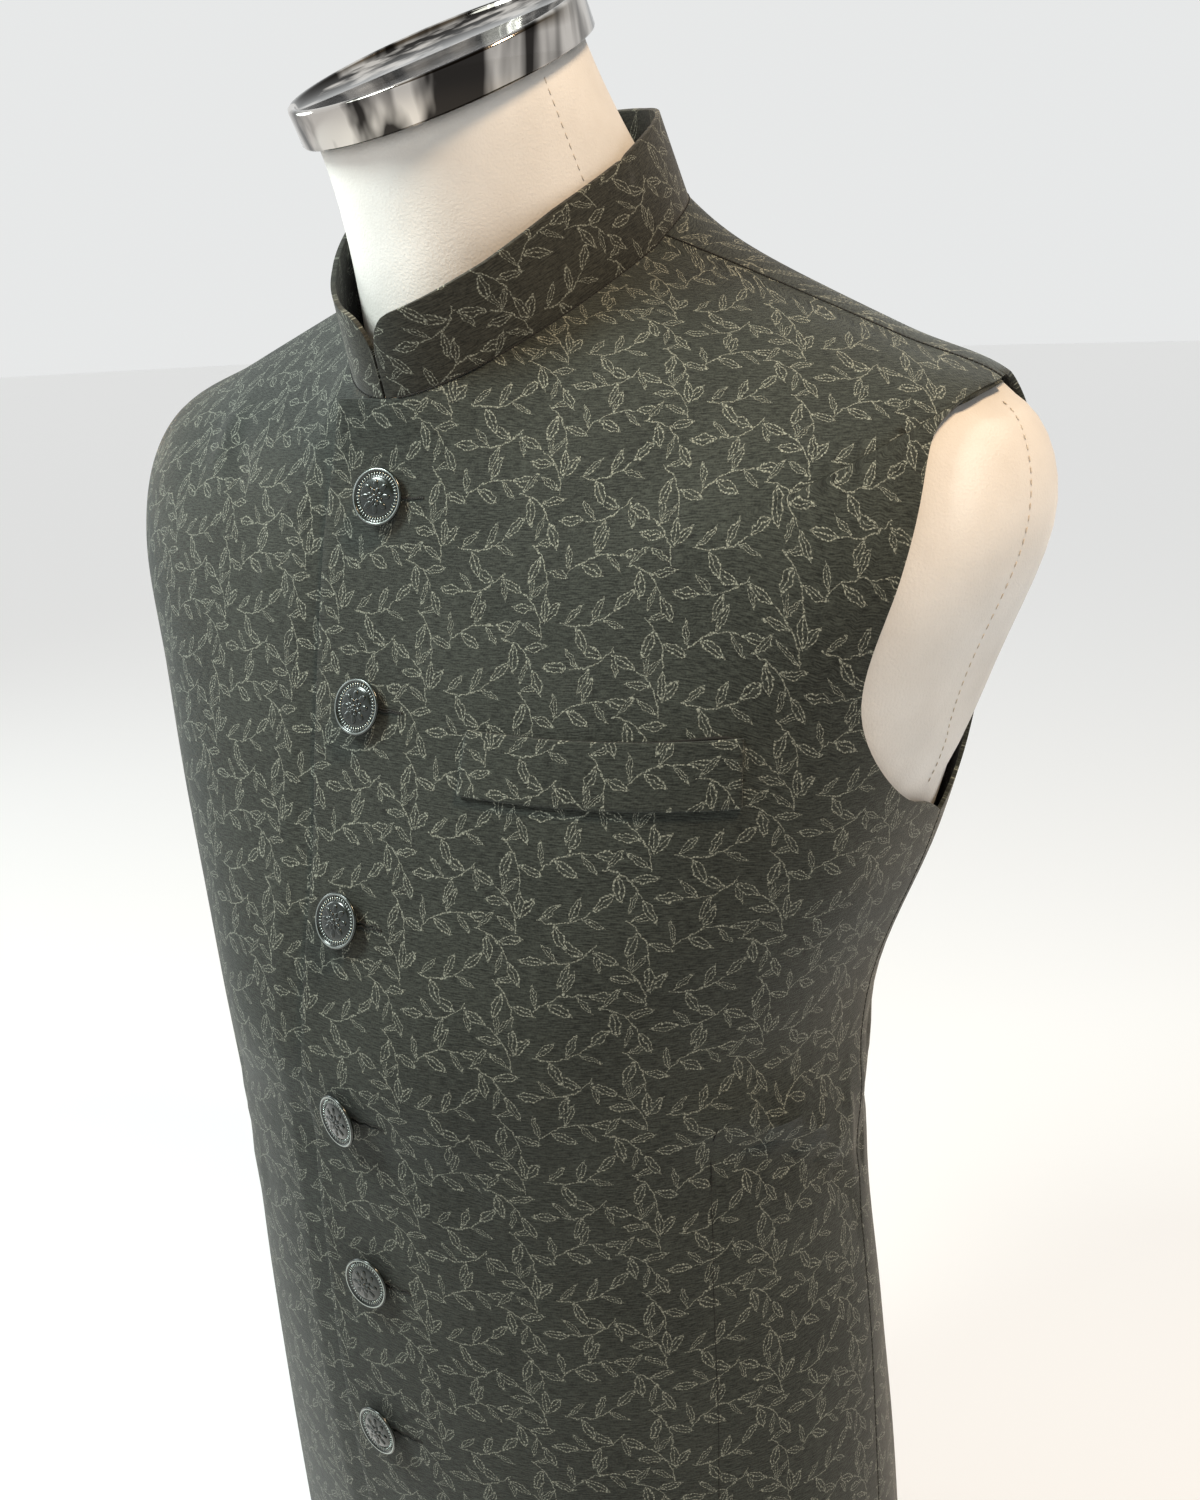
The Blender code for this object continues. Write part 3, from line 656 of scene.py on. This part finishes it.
def panel(name, grid, middle, start, wall, edge=TURNED_EDGE):
    """A turned cloth panel on a grid of points, with its cut as its UV map."""
    rows, cols = len(grid), len(grid[0])
    across, up = cut_out(grid, middle)
    mesh = bmesh.new()
    bmesh.ops.create_grid(mesh, x_segments=cols - 1, y_segments=rows - 1, size=1.0)
    cut = mesh.loops.layers.uv.new("cut")
    at = {v: (round((v.co.y + 1) / 2 * (rows - 1)), round((v.co.x + 1) / 2 * (cols - 1)))
          for v in mesh.verts}
    for face in mesh.faces:
        for loop in face.loops:
            i, j = at[loop.vert]
            loop[cut].uv = ((across[i, j] + start[0]) * MM, (up[i, j] + start[1]) * MM)
    for vertex, (i, j) in at.items():
        vertex.co = Vector(grid[i][j]) * MM
    made = finished(name, mesh, jacquard)
    thick = made.modifiers.new("wall", "SOLIDIFY")
    thick.thickness = wall * MM
    thick.offset = -1.0
    soften = made.modifiers.new("turned_edge", "BEVEL")
    soften.width = edge * MM
    soften.segments = 2
    soften.limit_method = "ANGLE"
    soften.angle_limit = math.radians(50)
    return made


BACK_COLUMNS = 96
# how closely the back's columns crowd towards its sides
BACK_CROWD = 0.4
# where on the cloth the panel is cut, across and up
BACK_CUT = (1000.0, 0.0)
back_cloth = []
for level, _, begin in LEVELS:
    begin += seam_turn(begin, level)
    row = []
    for j in range(BACK_COLUMNS + 1):
        u = j / BACK_COLUMNS
        u -= BACK_CROWD * math.sin(2 * math.pi * u) / (2 * math.pi)
        row.append(lifted(begin + (2 * math.pi - 2 * begin) * u, level, 0.0))
    back_cloth.append(row)
back = panel("back_panel", back_cloth, BACK_COLUMNS // 2, BACK_CUT, WALL)
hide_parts("back")

# ---- Fronts --------------------------------------------------------------------------------
# Two panels, cut alike. The left laps over the right down to the hem; a dart takes in each
# waist. The faced front edges are turned and pressed thin.

LAP_AIR = 1.0
LAP_REST = 1.5
LAP_RISE = 15.0
LAP_COLUMNS = 18
SIDE_COLUMNS = 64
SIDE_CROWD = 1.4
LEFT_CUT = (14.0, 22.0)
RIGHT_CUT = (2000.0, 31.0)


def lap_at(level):
    """How far the fronts lap past the centre at a level."""
    return float(spline(RINGS, level)[8])


def theta_at(x, level):
    """The angle round the front at which the surface is so far aside."""
    ring = spline(RINGS, level)
    return math.copysign(math.asin(min(abs(x) / ring[3], 1.0) ** (ring[6] / 2)), x)


def ease_in(value, start, end):
    """Nothing before the start, 1 past the end, and a smooth rise between them."""
    u = min(max((value - start) / (end - start), 0.0), 1.0)
    return u * u * (3 - 2 * u)


def front_cloth(side):
    """The grid of the left front (side 1) or of the right front sunk under it (side -1)."""
    grid = []
    for level, end, _ in LEVELS:
        end -= seam_turn(end, level)
        lap = lap_at(level)
        start = theta_at(lap + LAP_RISE, level)
        places = [lap * (2 * j / LAP_COLUMNS - 1) for j in range(LAP_COLUMNS + 1)]
        angles = [theta_at(x, level) for x in places]
        for j in range(SIDE_COLUMNS + 1):
            angles.append(start + (end - start) * (1 - (1 - j / SIDE_COLUMNS) ** SIDE_CROWD))
        row = []
        for theta in angles:
            x = surface(theta, level)[0]
            if side < 0:
                sunk = (WALL + LAP_AIR) * (1 - ease_in(x, lap + LAP_REST, lap + LAP_RISE))
                row.append(lifted(-theta, level, -sunk))
            elif x < 0:
                row.append(lifted(0.0, level, 0.0) + np.array((x, 0.0, 0.0)))
            else:
                row.append(lifted(theta, level, 0.0))
        grid.append(row if side > 0 else row[::-1])
    return grid


front_columns = LAP_COLUMNS + SIDE_COLUMNS + 1
left = panel("left_front", front_cloth(1), LAP_COLUMNS // 2, LEFT_CUT, WALL)
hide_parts("front_left")
right_middle = front_columns - LAP_COLUMNS // 2
right = panel("right_front", front_cloth(-1), right_middle, RIGHT_CUT, WALL)
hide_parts("front_right")

# ---- Stand collar --------------------------------------------------------------------------
# A stiffened band, 33 mm high in front and 40 mm behind, with rounded front corners. It is sewn
# to the neck edge and stands off the neck, and its grain follows the band.

COLLAR_HEIGHT = ((0, 33.0), (30, 35.5), (65, 40.0), (180, 40.0))
COLLAR_CORNER = 17.0
COLLAR_START = 0.8
COLLAR_WALL = 2.2
COLLAR_COLUMNS = 150
COLLAR_ROWS = 12
COLLAR_STEP = 0.01
# the share of the band's length at each end whose columns crowd towards the round corner
CORNER_SHARE = 0.045
CORNER_COLUMNS = 8
CORNER_CROWD = 1.6
COLLAR_CUT = (3000.0, 9.0)
STIFF_EDGE = 0.6
# how far the band leans inwards, in degrees, by the angle round the neck
COLLAR_LEAN = (
    (-180, 6), (-135, 4), (-90, 8), (-45, 12), (0, 10), (45, -8), (90, -2), (135, 1), (180, 6),
)


def collar_frame(theta):
    """The band's foot at an angle round the neck, its way up and its way in."""
    seam = surface(theta, TOP)
    along = surface(theta + COLLAR_STEP, TOP) - surface(theta - COLLAR_STEP, TOP)
    along /= np.linalg.norm(along)
    axis = neck_axis()
    rise = axis - along * np.dot(axis, along)
    rise /= np.linalg.norm(rise)
    inward = np.cross(rise, along)
    angle = math.degrees(math.remainder(theta, 2 * math.pi))
    lean = math.radians(np.interp(angle, [a for a, _ in COLLAR_LEAN], [b for _, b in COLLAR_LEAN]))
    up = rise * math.cos(lean) + inward * math.sin(lean)
    inward = inward * math.cos(lean) - rise * math.sin(lean)
    slope = seam - surface(theta, TOP - COLLAR_STEP)
    slope /= np.linalg.norm(slope)
    dip = max(-np.dot(inward, slope), 0.0) / max(np.dot(up, slope), 0.3)
    return seam + up * (2 * HALF_SEAM + COLLAR_WALL * dip), up, inward


start = math.radians(COLLAR_START)
corner = [CORNER_SHARE * (j / CORNER_COLUMNS) ** CORNER_CROWD for j in range(CORNER_COLUMNS)]
plain = 1 - 2 * CORNER_SHARE
shares = corner + [CORNER_SHARE + plain * j / COLLAR_COLUMNS for j in range(COLLAR_COLUMNS + 1)]
shares += [1 - s for s in reversed(corner)]
angles = [start + (2 * math.pi - 2 * start) * s for s in shares]
seam_line = [collar_frame(theta)[0] for theta in angles]
run = [0.0]
for a, b in zip(seam_line, seam_line[1:]):
    run.append(run[-1] + float(np.linalg.norm(b - a)))
band = []
for i in range(COLLAR_ROWS + 1):
    row = []
    for theta, travel in zip(angles, run):
        foot, up, _ = collar_frame(theta)
        short = max(COLLAR_CORNER - min(travel, run[-1] - travel), 0.0)
        degrees = abs(math.degrees(math.remainder(theta, 2 * math.pi)))
        top = float(np.interp(degrees, *zip(*COLLAR_HEIGHT)))
        top += math.sqrt(COLLAR_CORNER**2 - short**2) - COLLAR_CORNER
        row.append(foot + up * top * i / COLLAR_ROWS)
    band.append(row)
collar = panel("stand_collar", band, 0, COLLAR_CUT, COLLAR_WALL, STIFF_EDGE)
band_cloth = jacquard.copy()
band_cloth.name = "jacquard_band"
for nap in band_cloth.node_tree.nodes:
    if nap.type == "VALTORGB":
        nap.color_ramp.elements[0].color = (0.011, 0.0112, 0.009, 1)
        nap.color_ramp.elements[1].color = (0.040, 0.040, 0.032, 1)
collar.data.materials[0] = band_cloth
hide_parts("collar")

# ---- Chest pocket --------------------------------------------------------------------------
# A folded welt sewn on the left front over the pocket's mouth, its upper edge left open and
# sagging a little towards the side, where the mouth's painted shadow shows.

WELT_TOP = ((9.9, 6.40), (45.8, 6.17))
WELT_BOTTOM = ((9.7, 5.76), (49.4, 5.64))
WELT_AIR = 0.4
WELT_WALL = 2.0
WELT_ROWS = 12
WELT_COLUMNS = 48
WELT_CUT = (4010.0, 25.0)
welt_cloth = []
for i in range(WELT_ROWS + 1):
    v = i / WELT_ROWS
    row = []
    for j in range(WELT_COLUMNS + 1):
        u = j / WELT_COLUMNS
        ends = [[low[k] + (high[k] - low[k]) * v for k in (0, 1)]
                for low, high in zip(WELT_BOTTOM, WELT_TOP)]
        degrees = ends[0][0] + (ends[1][0] - ends[0][0]) * u
        level = ends[0][1] + (ends[1][1] - ends[0][1]) * u
        row.append(lifted(math.radians(degrees), level, WELT_AIR + WELT_WALL))
    welt_cloth.append(row)
welt = panel("pocket_welt_strip", welt_cloth, 0, WELT_CUT, WELT_WALL, STIFF_EDGE)
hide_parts("pocket_welt")

# The mouth behind the welt is a narrow strip of painted shadow, which gapes most near its side end.
MOUTH_BELOW = 0.01
MOUTH_SLIT = 0.004
MOUTH_GAPE = 0.020
MOUTH_GAPE_AT = 0.86
MOUTH_GAPE_SPREAD = 0.13
MOUTH_END = 12
MOUTH_LIFT = 0.35
MOUTH_WALL = 0.25
shadow, tree, shader = finish_named("seam_shadow", (0.006, 0.006, 0.005), 0.95)
mesh = bmesh.new()
rims = []
for side in (0, 1):
    rim_line = []
    for j in range(WELT_COLUMNS + 1):
        u = j / WELT_COLUMNS
        degrees = WELT_TOP[0][0] + (WELT_TOP[1][0] - WELT_TOP[0][0]) * u
        level = WELT_TOP[0][1] + (WELT_TOP[1][1] - WELT_TOP[0][1]) * u
        gape = MOUTH_SLIT + MOUTH_GAPE * math.exp(-((u - MOUTH_GAPE_AT) / MOUTH_GAPE_SPREAD) ** 2)
        tapered = min(1.0, MOUTH_END * u, MOUTH_END * (1 - u))
        at = level - MOUTH_BELOW + side * (gape + MOUTH_BELOW) * tapered
        place = Vector(lifted(math.radians(degrees), at, MOUTH_LIFT)) * MM
        rim_line.append(mesh.verts.new(place))
    rims.append(rim_line)
for line in rims:
    for a, b in zip(line, line[1:]):
        mesh.edges.new((a, b))
bmesh.ops.bridge_loops(mesh, edges=mesh.edges[:])
bmesh.ops.solidify(mesh, geom=mesh.faces[:], thickness=MOUTH_WALL * MM)
bmesh.ops.recalc_face_normals(mesh, faces=mesh.faces[:])
mouth_shadow = finished("pocket_mouth_shadow", mesh, shadow)

# The two waist darts, each a line of painted shade along the pressed seam, drawn in dark
# dashes: side, degrees at its top and how far it slants.
DARTS = ((1, 61.6, 8.8), (-1, 61.0, 8.0))
DART_TOP = 3.68
DART_RUN = 3.6
DART_STEPS = 160
DART_LIFT = 0.05
DART_DASH = 4.0
DART_R = 0.30
# the dark dashes of painted shade run into each other, so the gap between them is less than nothing
CLOSE = -0.8
mesh = bmesh.new()
for side, degrees, slant in DARTS:
    line = []
    for k in range(DART_STEPS + 1):
        u = k / DART_STEPS
        theta = side * math.radians(degrees - slant * u)
        line.append(lifted(theta, DART_TOP - DART_RUN * u, DART_LIFT))
    stitch_and_shade_row(mesh, line, DART_DASH, CLOSE, DART_R)
dart_shadows = finished("waist_dart_shadows", mesh, shadow)

# The grooves of the shoulder seams, the side seams and the collar's own seam, where the two
# cloths turn in and their shadow shows as a dark line.
GROOVE_LIFT = 0.1
GROOVE_STITCH = 3.0
SHOULDER_GROOVE_R = 0.55
SIDE_GROOVE_STITCH = 4.0
SIDE_GROOVE_R = 0.40
NECK_GROOVE_R = 0.50
NECK_GROOVE_STEPS = 180
NECK_GROOVE_OPEN = 3
mesh = bmesh.new()
for side in (1, -1):
    shoulder = [entry for entry in LEVELS if entry[0] >= TIP_LEVEL]
    line = [lifted(side * theta, level, GROOVE_LIFT) for level, theta, _ in shoulder]
    stitch_and_shade_row(mesh, line, GROOVE_STITCH, CLOSE, SHOULDER_GROOVE_R)
    flank = [entry for entry in LEVELS if entry[0] <= PIT_LEVEL]
    line = [lifted(side * theta, level, 0.0) for level, theta, _ in flank]
    stitch_and_shade_row(mesh, line, SIDE_GROOVE_STITCH, CLOSE, SIDE_GROOVE_R)
steps = range(NECK_GROOVE_OPEN, NECK_GROOVE_STEPS - NECK_GROOVE_OPEN + 1)
neck_line = [lifted(2 * math.pi * k / NECK_GROOVE_STEPS, TOP, GROOVE_LIFT) for k in steps]
stitch_and_shade_row(mesh, neck_line, GROOVE_STITCH, CLOSE, NECK_GROOVE_R)
grooves = finished("seam_grooves", mesh, shadow)

# ---- Buttons -------------------------------------------------------------------------------
# Cast metal shank buttons, 25 mm across, enamelled nearly black. A thin bright rim, a ring of
# short cut rays, and a domed middle with a flower in relief.

BUTTON_R = 12.5
SHANK_R = 2.6
SHANK = 2.6
# each button's level, how far aside of the centre it stands and the degrees it looks aside
BUTTONS = (
    (9.45, -3.0, 10.0),
    (6.49, -3.0, 3.0),
    (4.64, -3.0, 0.0),
    (3.58, -3.0, -10.0),
    (2.65, 0.0, 3.0),
    (1.72, -4.0, -4.0),
)
BUTTON_PROFILE = (
    (0.0, 0.0), (SHANK_R, 0.0), (SHANK_R, SHANK), (10.4, SHANK + 0.2), (11.6, SHANK + 0.6),
    (12.3, SHANK + 1.2), (BUTTON_R, SHANK + 1.8), (12.35, SHANK + 2.3), (11.9, SHANK + 2.6),
    (11.4, SHANK + 2.6), (11.0, SHANK + 2.35), (10.8, SHANK + 2.0), (8.6, SHANK + 2.0),
    (8.3, SHANK + 2.35), (7.9, SHANK + 2.5), (6.5, SHANK + 2.8), (4.5, SHANK + 3.1),
    (2.5, SHANK + 3.3), (0.0, SHANK + 3.35),
)
BUTTON_STEPS = 64
# between these radii and above this height over the shank, the rim is worn bright
BRIGHT_RIM = (11.35, 12.0, 2.4)
RAYS = 44
RAY_AT = (9.7, 2.1)
RAY_SIZE = (1.7, 0.42, 0.36)
PETALS = 8
# each ring of petals: how far out, half length, half width, height, and its turn in petals
PETAL_RINGS = ((5.0, 2.4, 1.35, 2.95, 0.0), (2.5, 1.6, 0.9, 3.3, 0.5))
PETAL_THICK = 0.55
HEART_R = 1.3
HEART_THICK = 0.7
HEART_RISE = 3.5

button_dark, tree, shader = finish_named("button_metal", (0.010, 0.015, 0.013), 0.22, 0.35)
shader.inputs["Coat Weight"].default_value = 0.6
shader.inputs["Coat Roughness"].default_value = 0.12
place = node(tree, "TexCoord").outputs["Object"]
worn = node(tree, "TexNoise", {"Vector": place, "Scale": 420.0, "Detail": 3.0}).outputs["Fac"]
tree.links.new(maths(tree, "MULTIPLY_ADD", worn, 0.25, 0.12), shader.inputs["Roughness"])
pits = node(tree, "Bump", {"Height": worn, "Strength": 0.25, "Distance": 0.0002})
tree.links.new(pits.outputs["Normal"], shader.inputs["Normal"])
button_bright, tree, shader = finish_named("button_edge", (0.34, 0.38, 0.36), 0.3, 1.0)
place = node(tree, "TexCoord").outputs["Object"]
rubbed = node(tree, "TexNoise", {"Vector": place, "Scale": 600.0, "Detail": 2.0}).outputs["Fac"]
tree.links.new(maths(tree, "MULTIPLY_ADD", rubbed, 0.3, 0.12), shader.inputs["Roughness"])


def cast_button():
    """One button about the origin, its shank's foot at z = 0."""
    mesh = bmesh.new()
    turned(mesh, BUTTON_PROFILE, BUTTON_STEPS)
    inner, outer, above = BRIGHT_RIM
    for face in mesh.faces:
        middle = face.calc_center_median()
        radius = math.hypot(middle.x, middle.y) / MM
        high = middle.z > (SHANK + above) * MM
        face.material_index = 1 if inner < radius < outer and high else 0
    for k in range(RAYS):
        turn = Matrix.Rotation(2 * math.pi * k / RAYS, 4, "Z")
        shape = Matrix.Translation((RAY_AT[0] * MM, 0, (SHANK + RAY_AT[1]) * MM))
        size = Matrix.Diagonal((*(Vector(RAY_SIZE) * MM), 1.0))
        ray = bmesh.ops.create_cube(mesh, size=1.0, matrix=turn @ shape @ size)
        for face in {f for v in ray["verts"] for f in v.link_faces}:
            face.material_index = 1
    for reach, long, wide, rise, offset in PETAL_RINGS:
        for k in range(PETALS):
            turn = Matrix.Rotation(2 * math.pi * (k + offset) / PETALS, 4, "Z")
            shape = Matrix.Translation((reach * MM, 0, (SHANK + rise) * MM))
            size = Matrix.Diagonal((long * MM, wide * MM, PETAL_THICK * MM, 1.0))
            bmesh.ops.create_uvsphere(mesh, u_segments=14, v_segments=8, radius=1.0,
                                      matrix=turn @ shape @ size)
    shape = Matrix.Translation((0, 0, (SHANK + HEART_RISE) * MM))
    size = Matrix.Diagonal((HEART_R * MM, HEART_R * MM, HEART_THICK * MM, 1.0))
    bmesh.ops.create_uvsphere(mesh, u_segments=18, v_segments=10, radius=1.0,
                              matrix=shape @ size)
    return mesh


def button_place(level, aside, degrees):
    """Where a button stands: its shank's foot on the left front's smooth face."""
    turn = math.radians(degrees)
    theta = theta_at(max(aside, 0.0), level)
    out = Matrix.Rotation(turn, 3, "Z") @ Vector(normal(theta, level))
    clear = 2 * HALF_SEAM + SHANK_R * abs(math.sin(turn))
    foot = Vector(surface(theta, level)) + out * clear
    foot.x = aside
    return upright_place(foot * MM, out)


for number, button in enumerate(BUTTONS, 1):
    mesh = cast_button()
    bmesh.ops.transform(mesh, matrix=button_place(*button), verts=mesh.verts[:])
    made = finished(f"shank_button_{number}", mesh, button_dark, button_bright)
    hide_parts(f"button_{number}")

# ---- Buttonholes ---------------------------------------------------------------------------
# Worked slits in the left front, cut across it and bound with close dark twist. Each runs
# from under its button towards the side.

HOLE_BEHIND = 6.0
HOLE_AHEAD = 24.0
HOLE_HALF = 0.9
HOLE_WAVE = 0.5
HOLE_STEPS = 30
HOLE_LIFT = 0.25
HOLE_STITCH = 1.5
HOLE_CLOSE = -0.5
HOLE_R = 0.42

hole_twist, tree, shader = finish_named("buttonhole_twist", (0.008, 0.009, 0.008), 0.8)
mesh = bmesh.new()
for level, aside, _ in BUTTONS:
    for side in (-1, 1):
        line = []
        for k in range(HOLE_STEPS + 1):
            x = aside - HOLE_BEHIND + (HOLE_AHEAD + HOLE_BEHIND) * k / HOLE_STEPS
            swell = math.sqrt(max(1 - (2 * k / HOLE_STEPS - 1) ** 2, 0.0))
            wave = HOLE_WAVE * math.sin(k * 0.9 + level) + side * HOLE_HALF * swell
            at = level + wave / MM_PER_LEVEL
            if x < 0:
                line.append(lifted(0.0, at, HOLE_LIFT) + np.array((x, 0.0, 0.0)))
            else:
                line.append(lifted(theta_at(x, at), at, HOLE_LIFT))
        stitch_and_shade_row(mesh, line, HOLE_STITCH, HOLE_CLOSE, HOLE_R)
holes = finished("buttonholes", mesh, hole_twist)

# ---- Floor, light and camera ---------------------------------------------------------------
# A pale floor that glows a little, a cool window light from the wearer's right, a cool one
# above and before the chest, a warm one above the left shoulder, and a room that is brightest
# behind the right shoulder. The view is from the wearer's left and a little above.

FLOOR_HALF = 30.0
FLOOR_GLOW = 0.40
mesh = bmesh.new()
bmesh.ops.create_grid(mesh, x_segments=1, y_segments=1, size=FLOOR_HALF)
data = bpy.data.meshes.new("floor")
mesh.to_mesh(data)
mesh.free()
floor = bpy.data.objects.new("floor", data)
bpy.context.scene.collection.objects.link(floor)
pale, tree, shader = finish_named("pale_floor", (0.55, 0.55, 0.545), 0.9)
shader.inputs["Emission Color"].default_value = (0.98, 0.99, 1.0, 1.0)
shader.inputs["Emission Strength"].default_value = FLOOR_GLOW
data.materials.append(pale)
floor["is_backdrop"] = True


def soft_light(name, place, target, size, power, colour):
    """A round soft lamp at a place, turned to look at its target."""
    lamp = bpy.data.lights.new(name, "AREA")
    lamp.shape = "DISK"
    lamp.size = size
    lamp.energy = power
    lamp.color = colour
    made = bpy.data.objects.new(name, lamp)
    made.location = place
    made.rotation_euler = (Vector(target) - Vector(place)).to_track_quat("-Z", "Y").to_euler()
    bpy.context.scene.collection.objects.link(made)


soft_light("window", (-2.5, -0.3, 1.3), (0, 0, 0.5), 1.0, 16.0, (0.88, 0.98, 0.97))
soft_light("ceiling", (-0.5, -0.75, 1.45), (0, -0.05, 0.65), 0.45, 18.0, (0.88, 0.98, 0.94))
soft_light("shop", (0.8, -0.3, 1.7), (0.1, 0, 0.7), 0.3, 19.0, (1.0, 0.74, 0.48))

# the way to the room's bright end, and the pale belt round the horizon: full up to 0.28 of the
# height overhead and gone at 0.45
BRIGHT_WAY = (-0.76, 0.50, 0.42)
BELT_FADE = -6.0
BELT_REACH = 2.7
world = bpy.data.worlds.new("studio")
world.use_nodes = True
tree = world.node_tree
way = node(tree, "TexCoord").outputs["Generated"]
facing = node(tree, "VectorMath", {0: way, 1: BRIGHT_WAY}, operation="DOT_PRODUCT")
facing = facing.outputs["Value"]
room = node(tree, "ValToRGB", {"Fac": maths(tree, "MULTIPLY_ADD", facing, 0.5, 0.5)})
room.color_ramp.elements[0].position = 0.12
room.color_ramp.elements[0].color = (0.12, 0.08, 0.05, 1)
room.color_ramp.elements[1].position = 0.78
room.color_ramp.elements[1].color = (0.86, 0.88, 0.88, 1)
between = room.color_ramp.elements.new(0.50)
between.color = (0.17, 0.15, 0.12, 1)
high = node(tree, "SeparateXYZ", {0: way}).outputs[2]
belt = maths(tree, "MULTIPLY_ADD", high, BELT_FADE, BELT_REACH)
walls = node(tree, "Mix", {"Factor": belt, 6: room.outputs["Color"], 7: (0.80, 0.81, 0.81, 1)},
             data_type="RGBA")
tree.links.new(walls.outputs[2], tree.nodes["Background"].inputs["Color"])
tree.nodes["Background"].inputs["Strength"].default_value = 1.0
bpy.context.scene.world = world
bpy.context.scene.view_settings.view_transform = "Standard"

VIEW_ROUND = 37.7
VIEW_ABOVE = 14.91
VIEW_ROLL = -2.0
VIEW_AT = (0.02856, 0.0, 0.52128)
VIEW_AWAY = 0.78767
LENS = 38.70

lens = bpy.data.cameras.new("camera")
lens.lens = LENS
lens.sensor_width = 36.0
lens.clip_start = 0.02
camera = bpy.data.objects.new("camera", lens)
bpy.context.scene.collection.objects.link(camera)
about, above, roll = (math.radians(angle) for angle in (VIEW_ROUND, VIEW_ABOVE, VIEW_ROLL))
far = math.cos(above)
away = Vector((math.sin(about) * far, -math.cos(about) * far, math.sin(above)))
level_right = Vector((math.cos(about), math.sin(about), 0.0))
level_up = away.cross(level_right)
right = level_right * math.cos(roll) + level_up * math.sin(roll)
up = level_up * math.cos(roll) - level_right * math.sin(roll)
stand = Matrix((right, up, away)).transposed().to_4x4()
stand.translation = Vector(VIEW_AT) + away * VIEW_AWAY
camera.matrix_world = stand
bpy.context.scene.camera = camera

low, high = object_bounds()
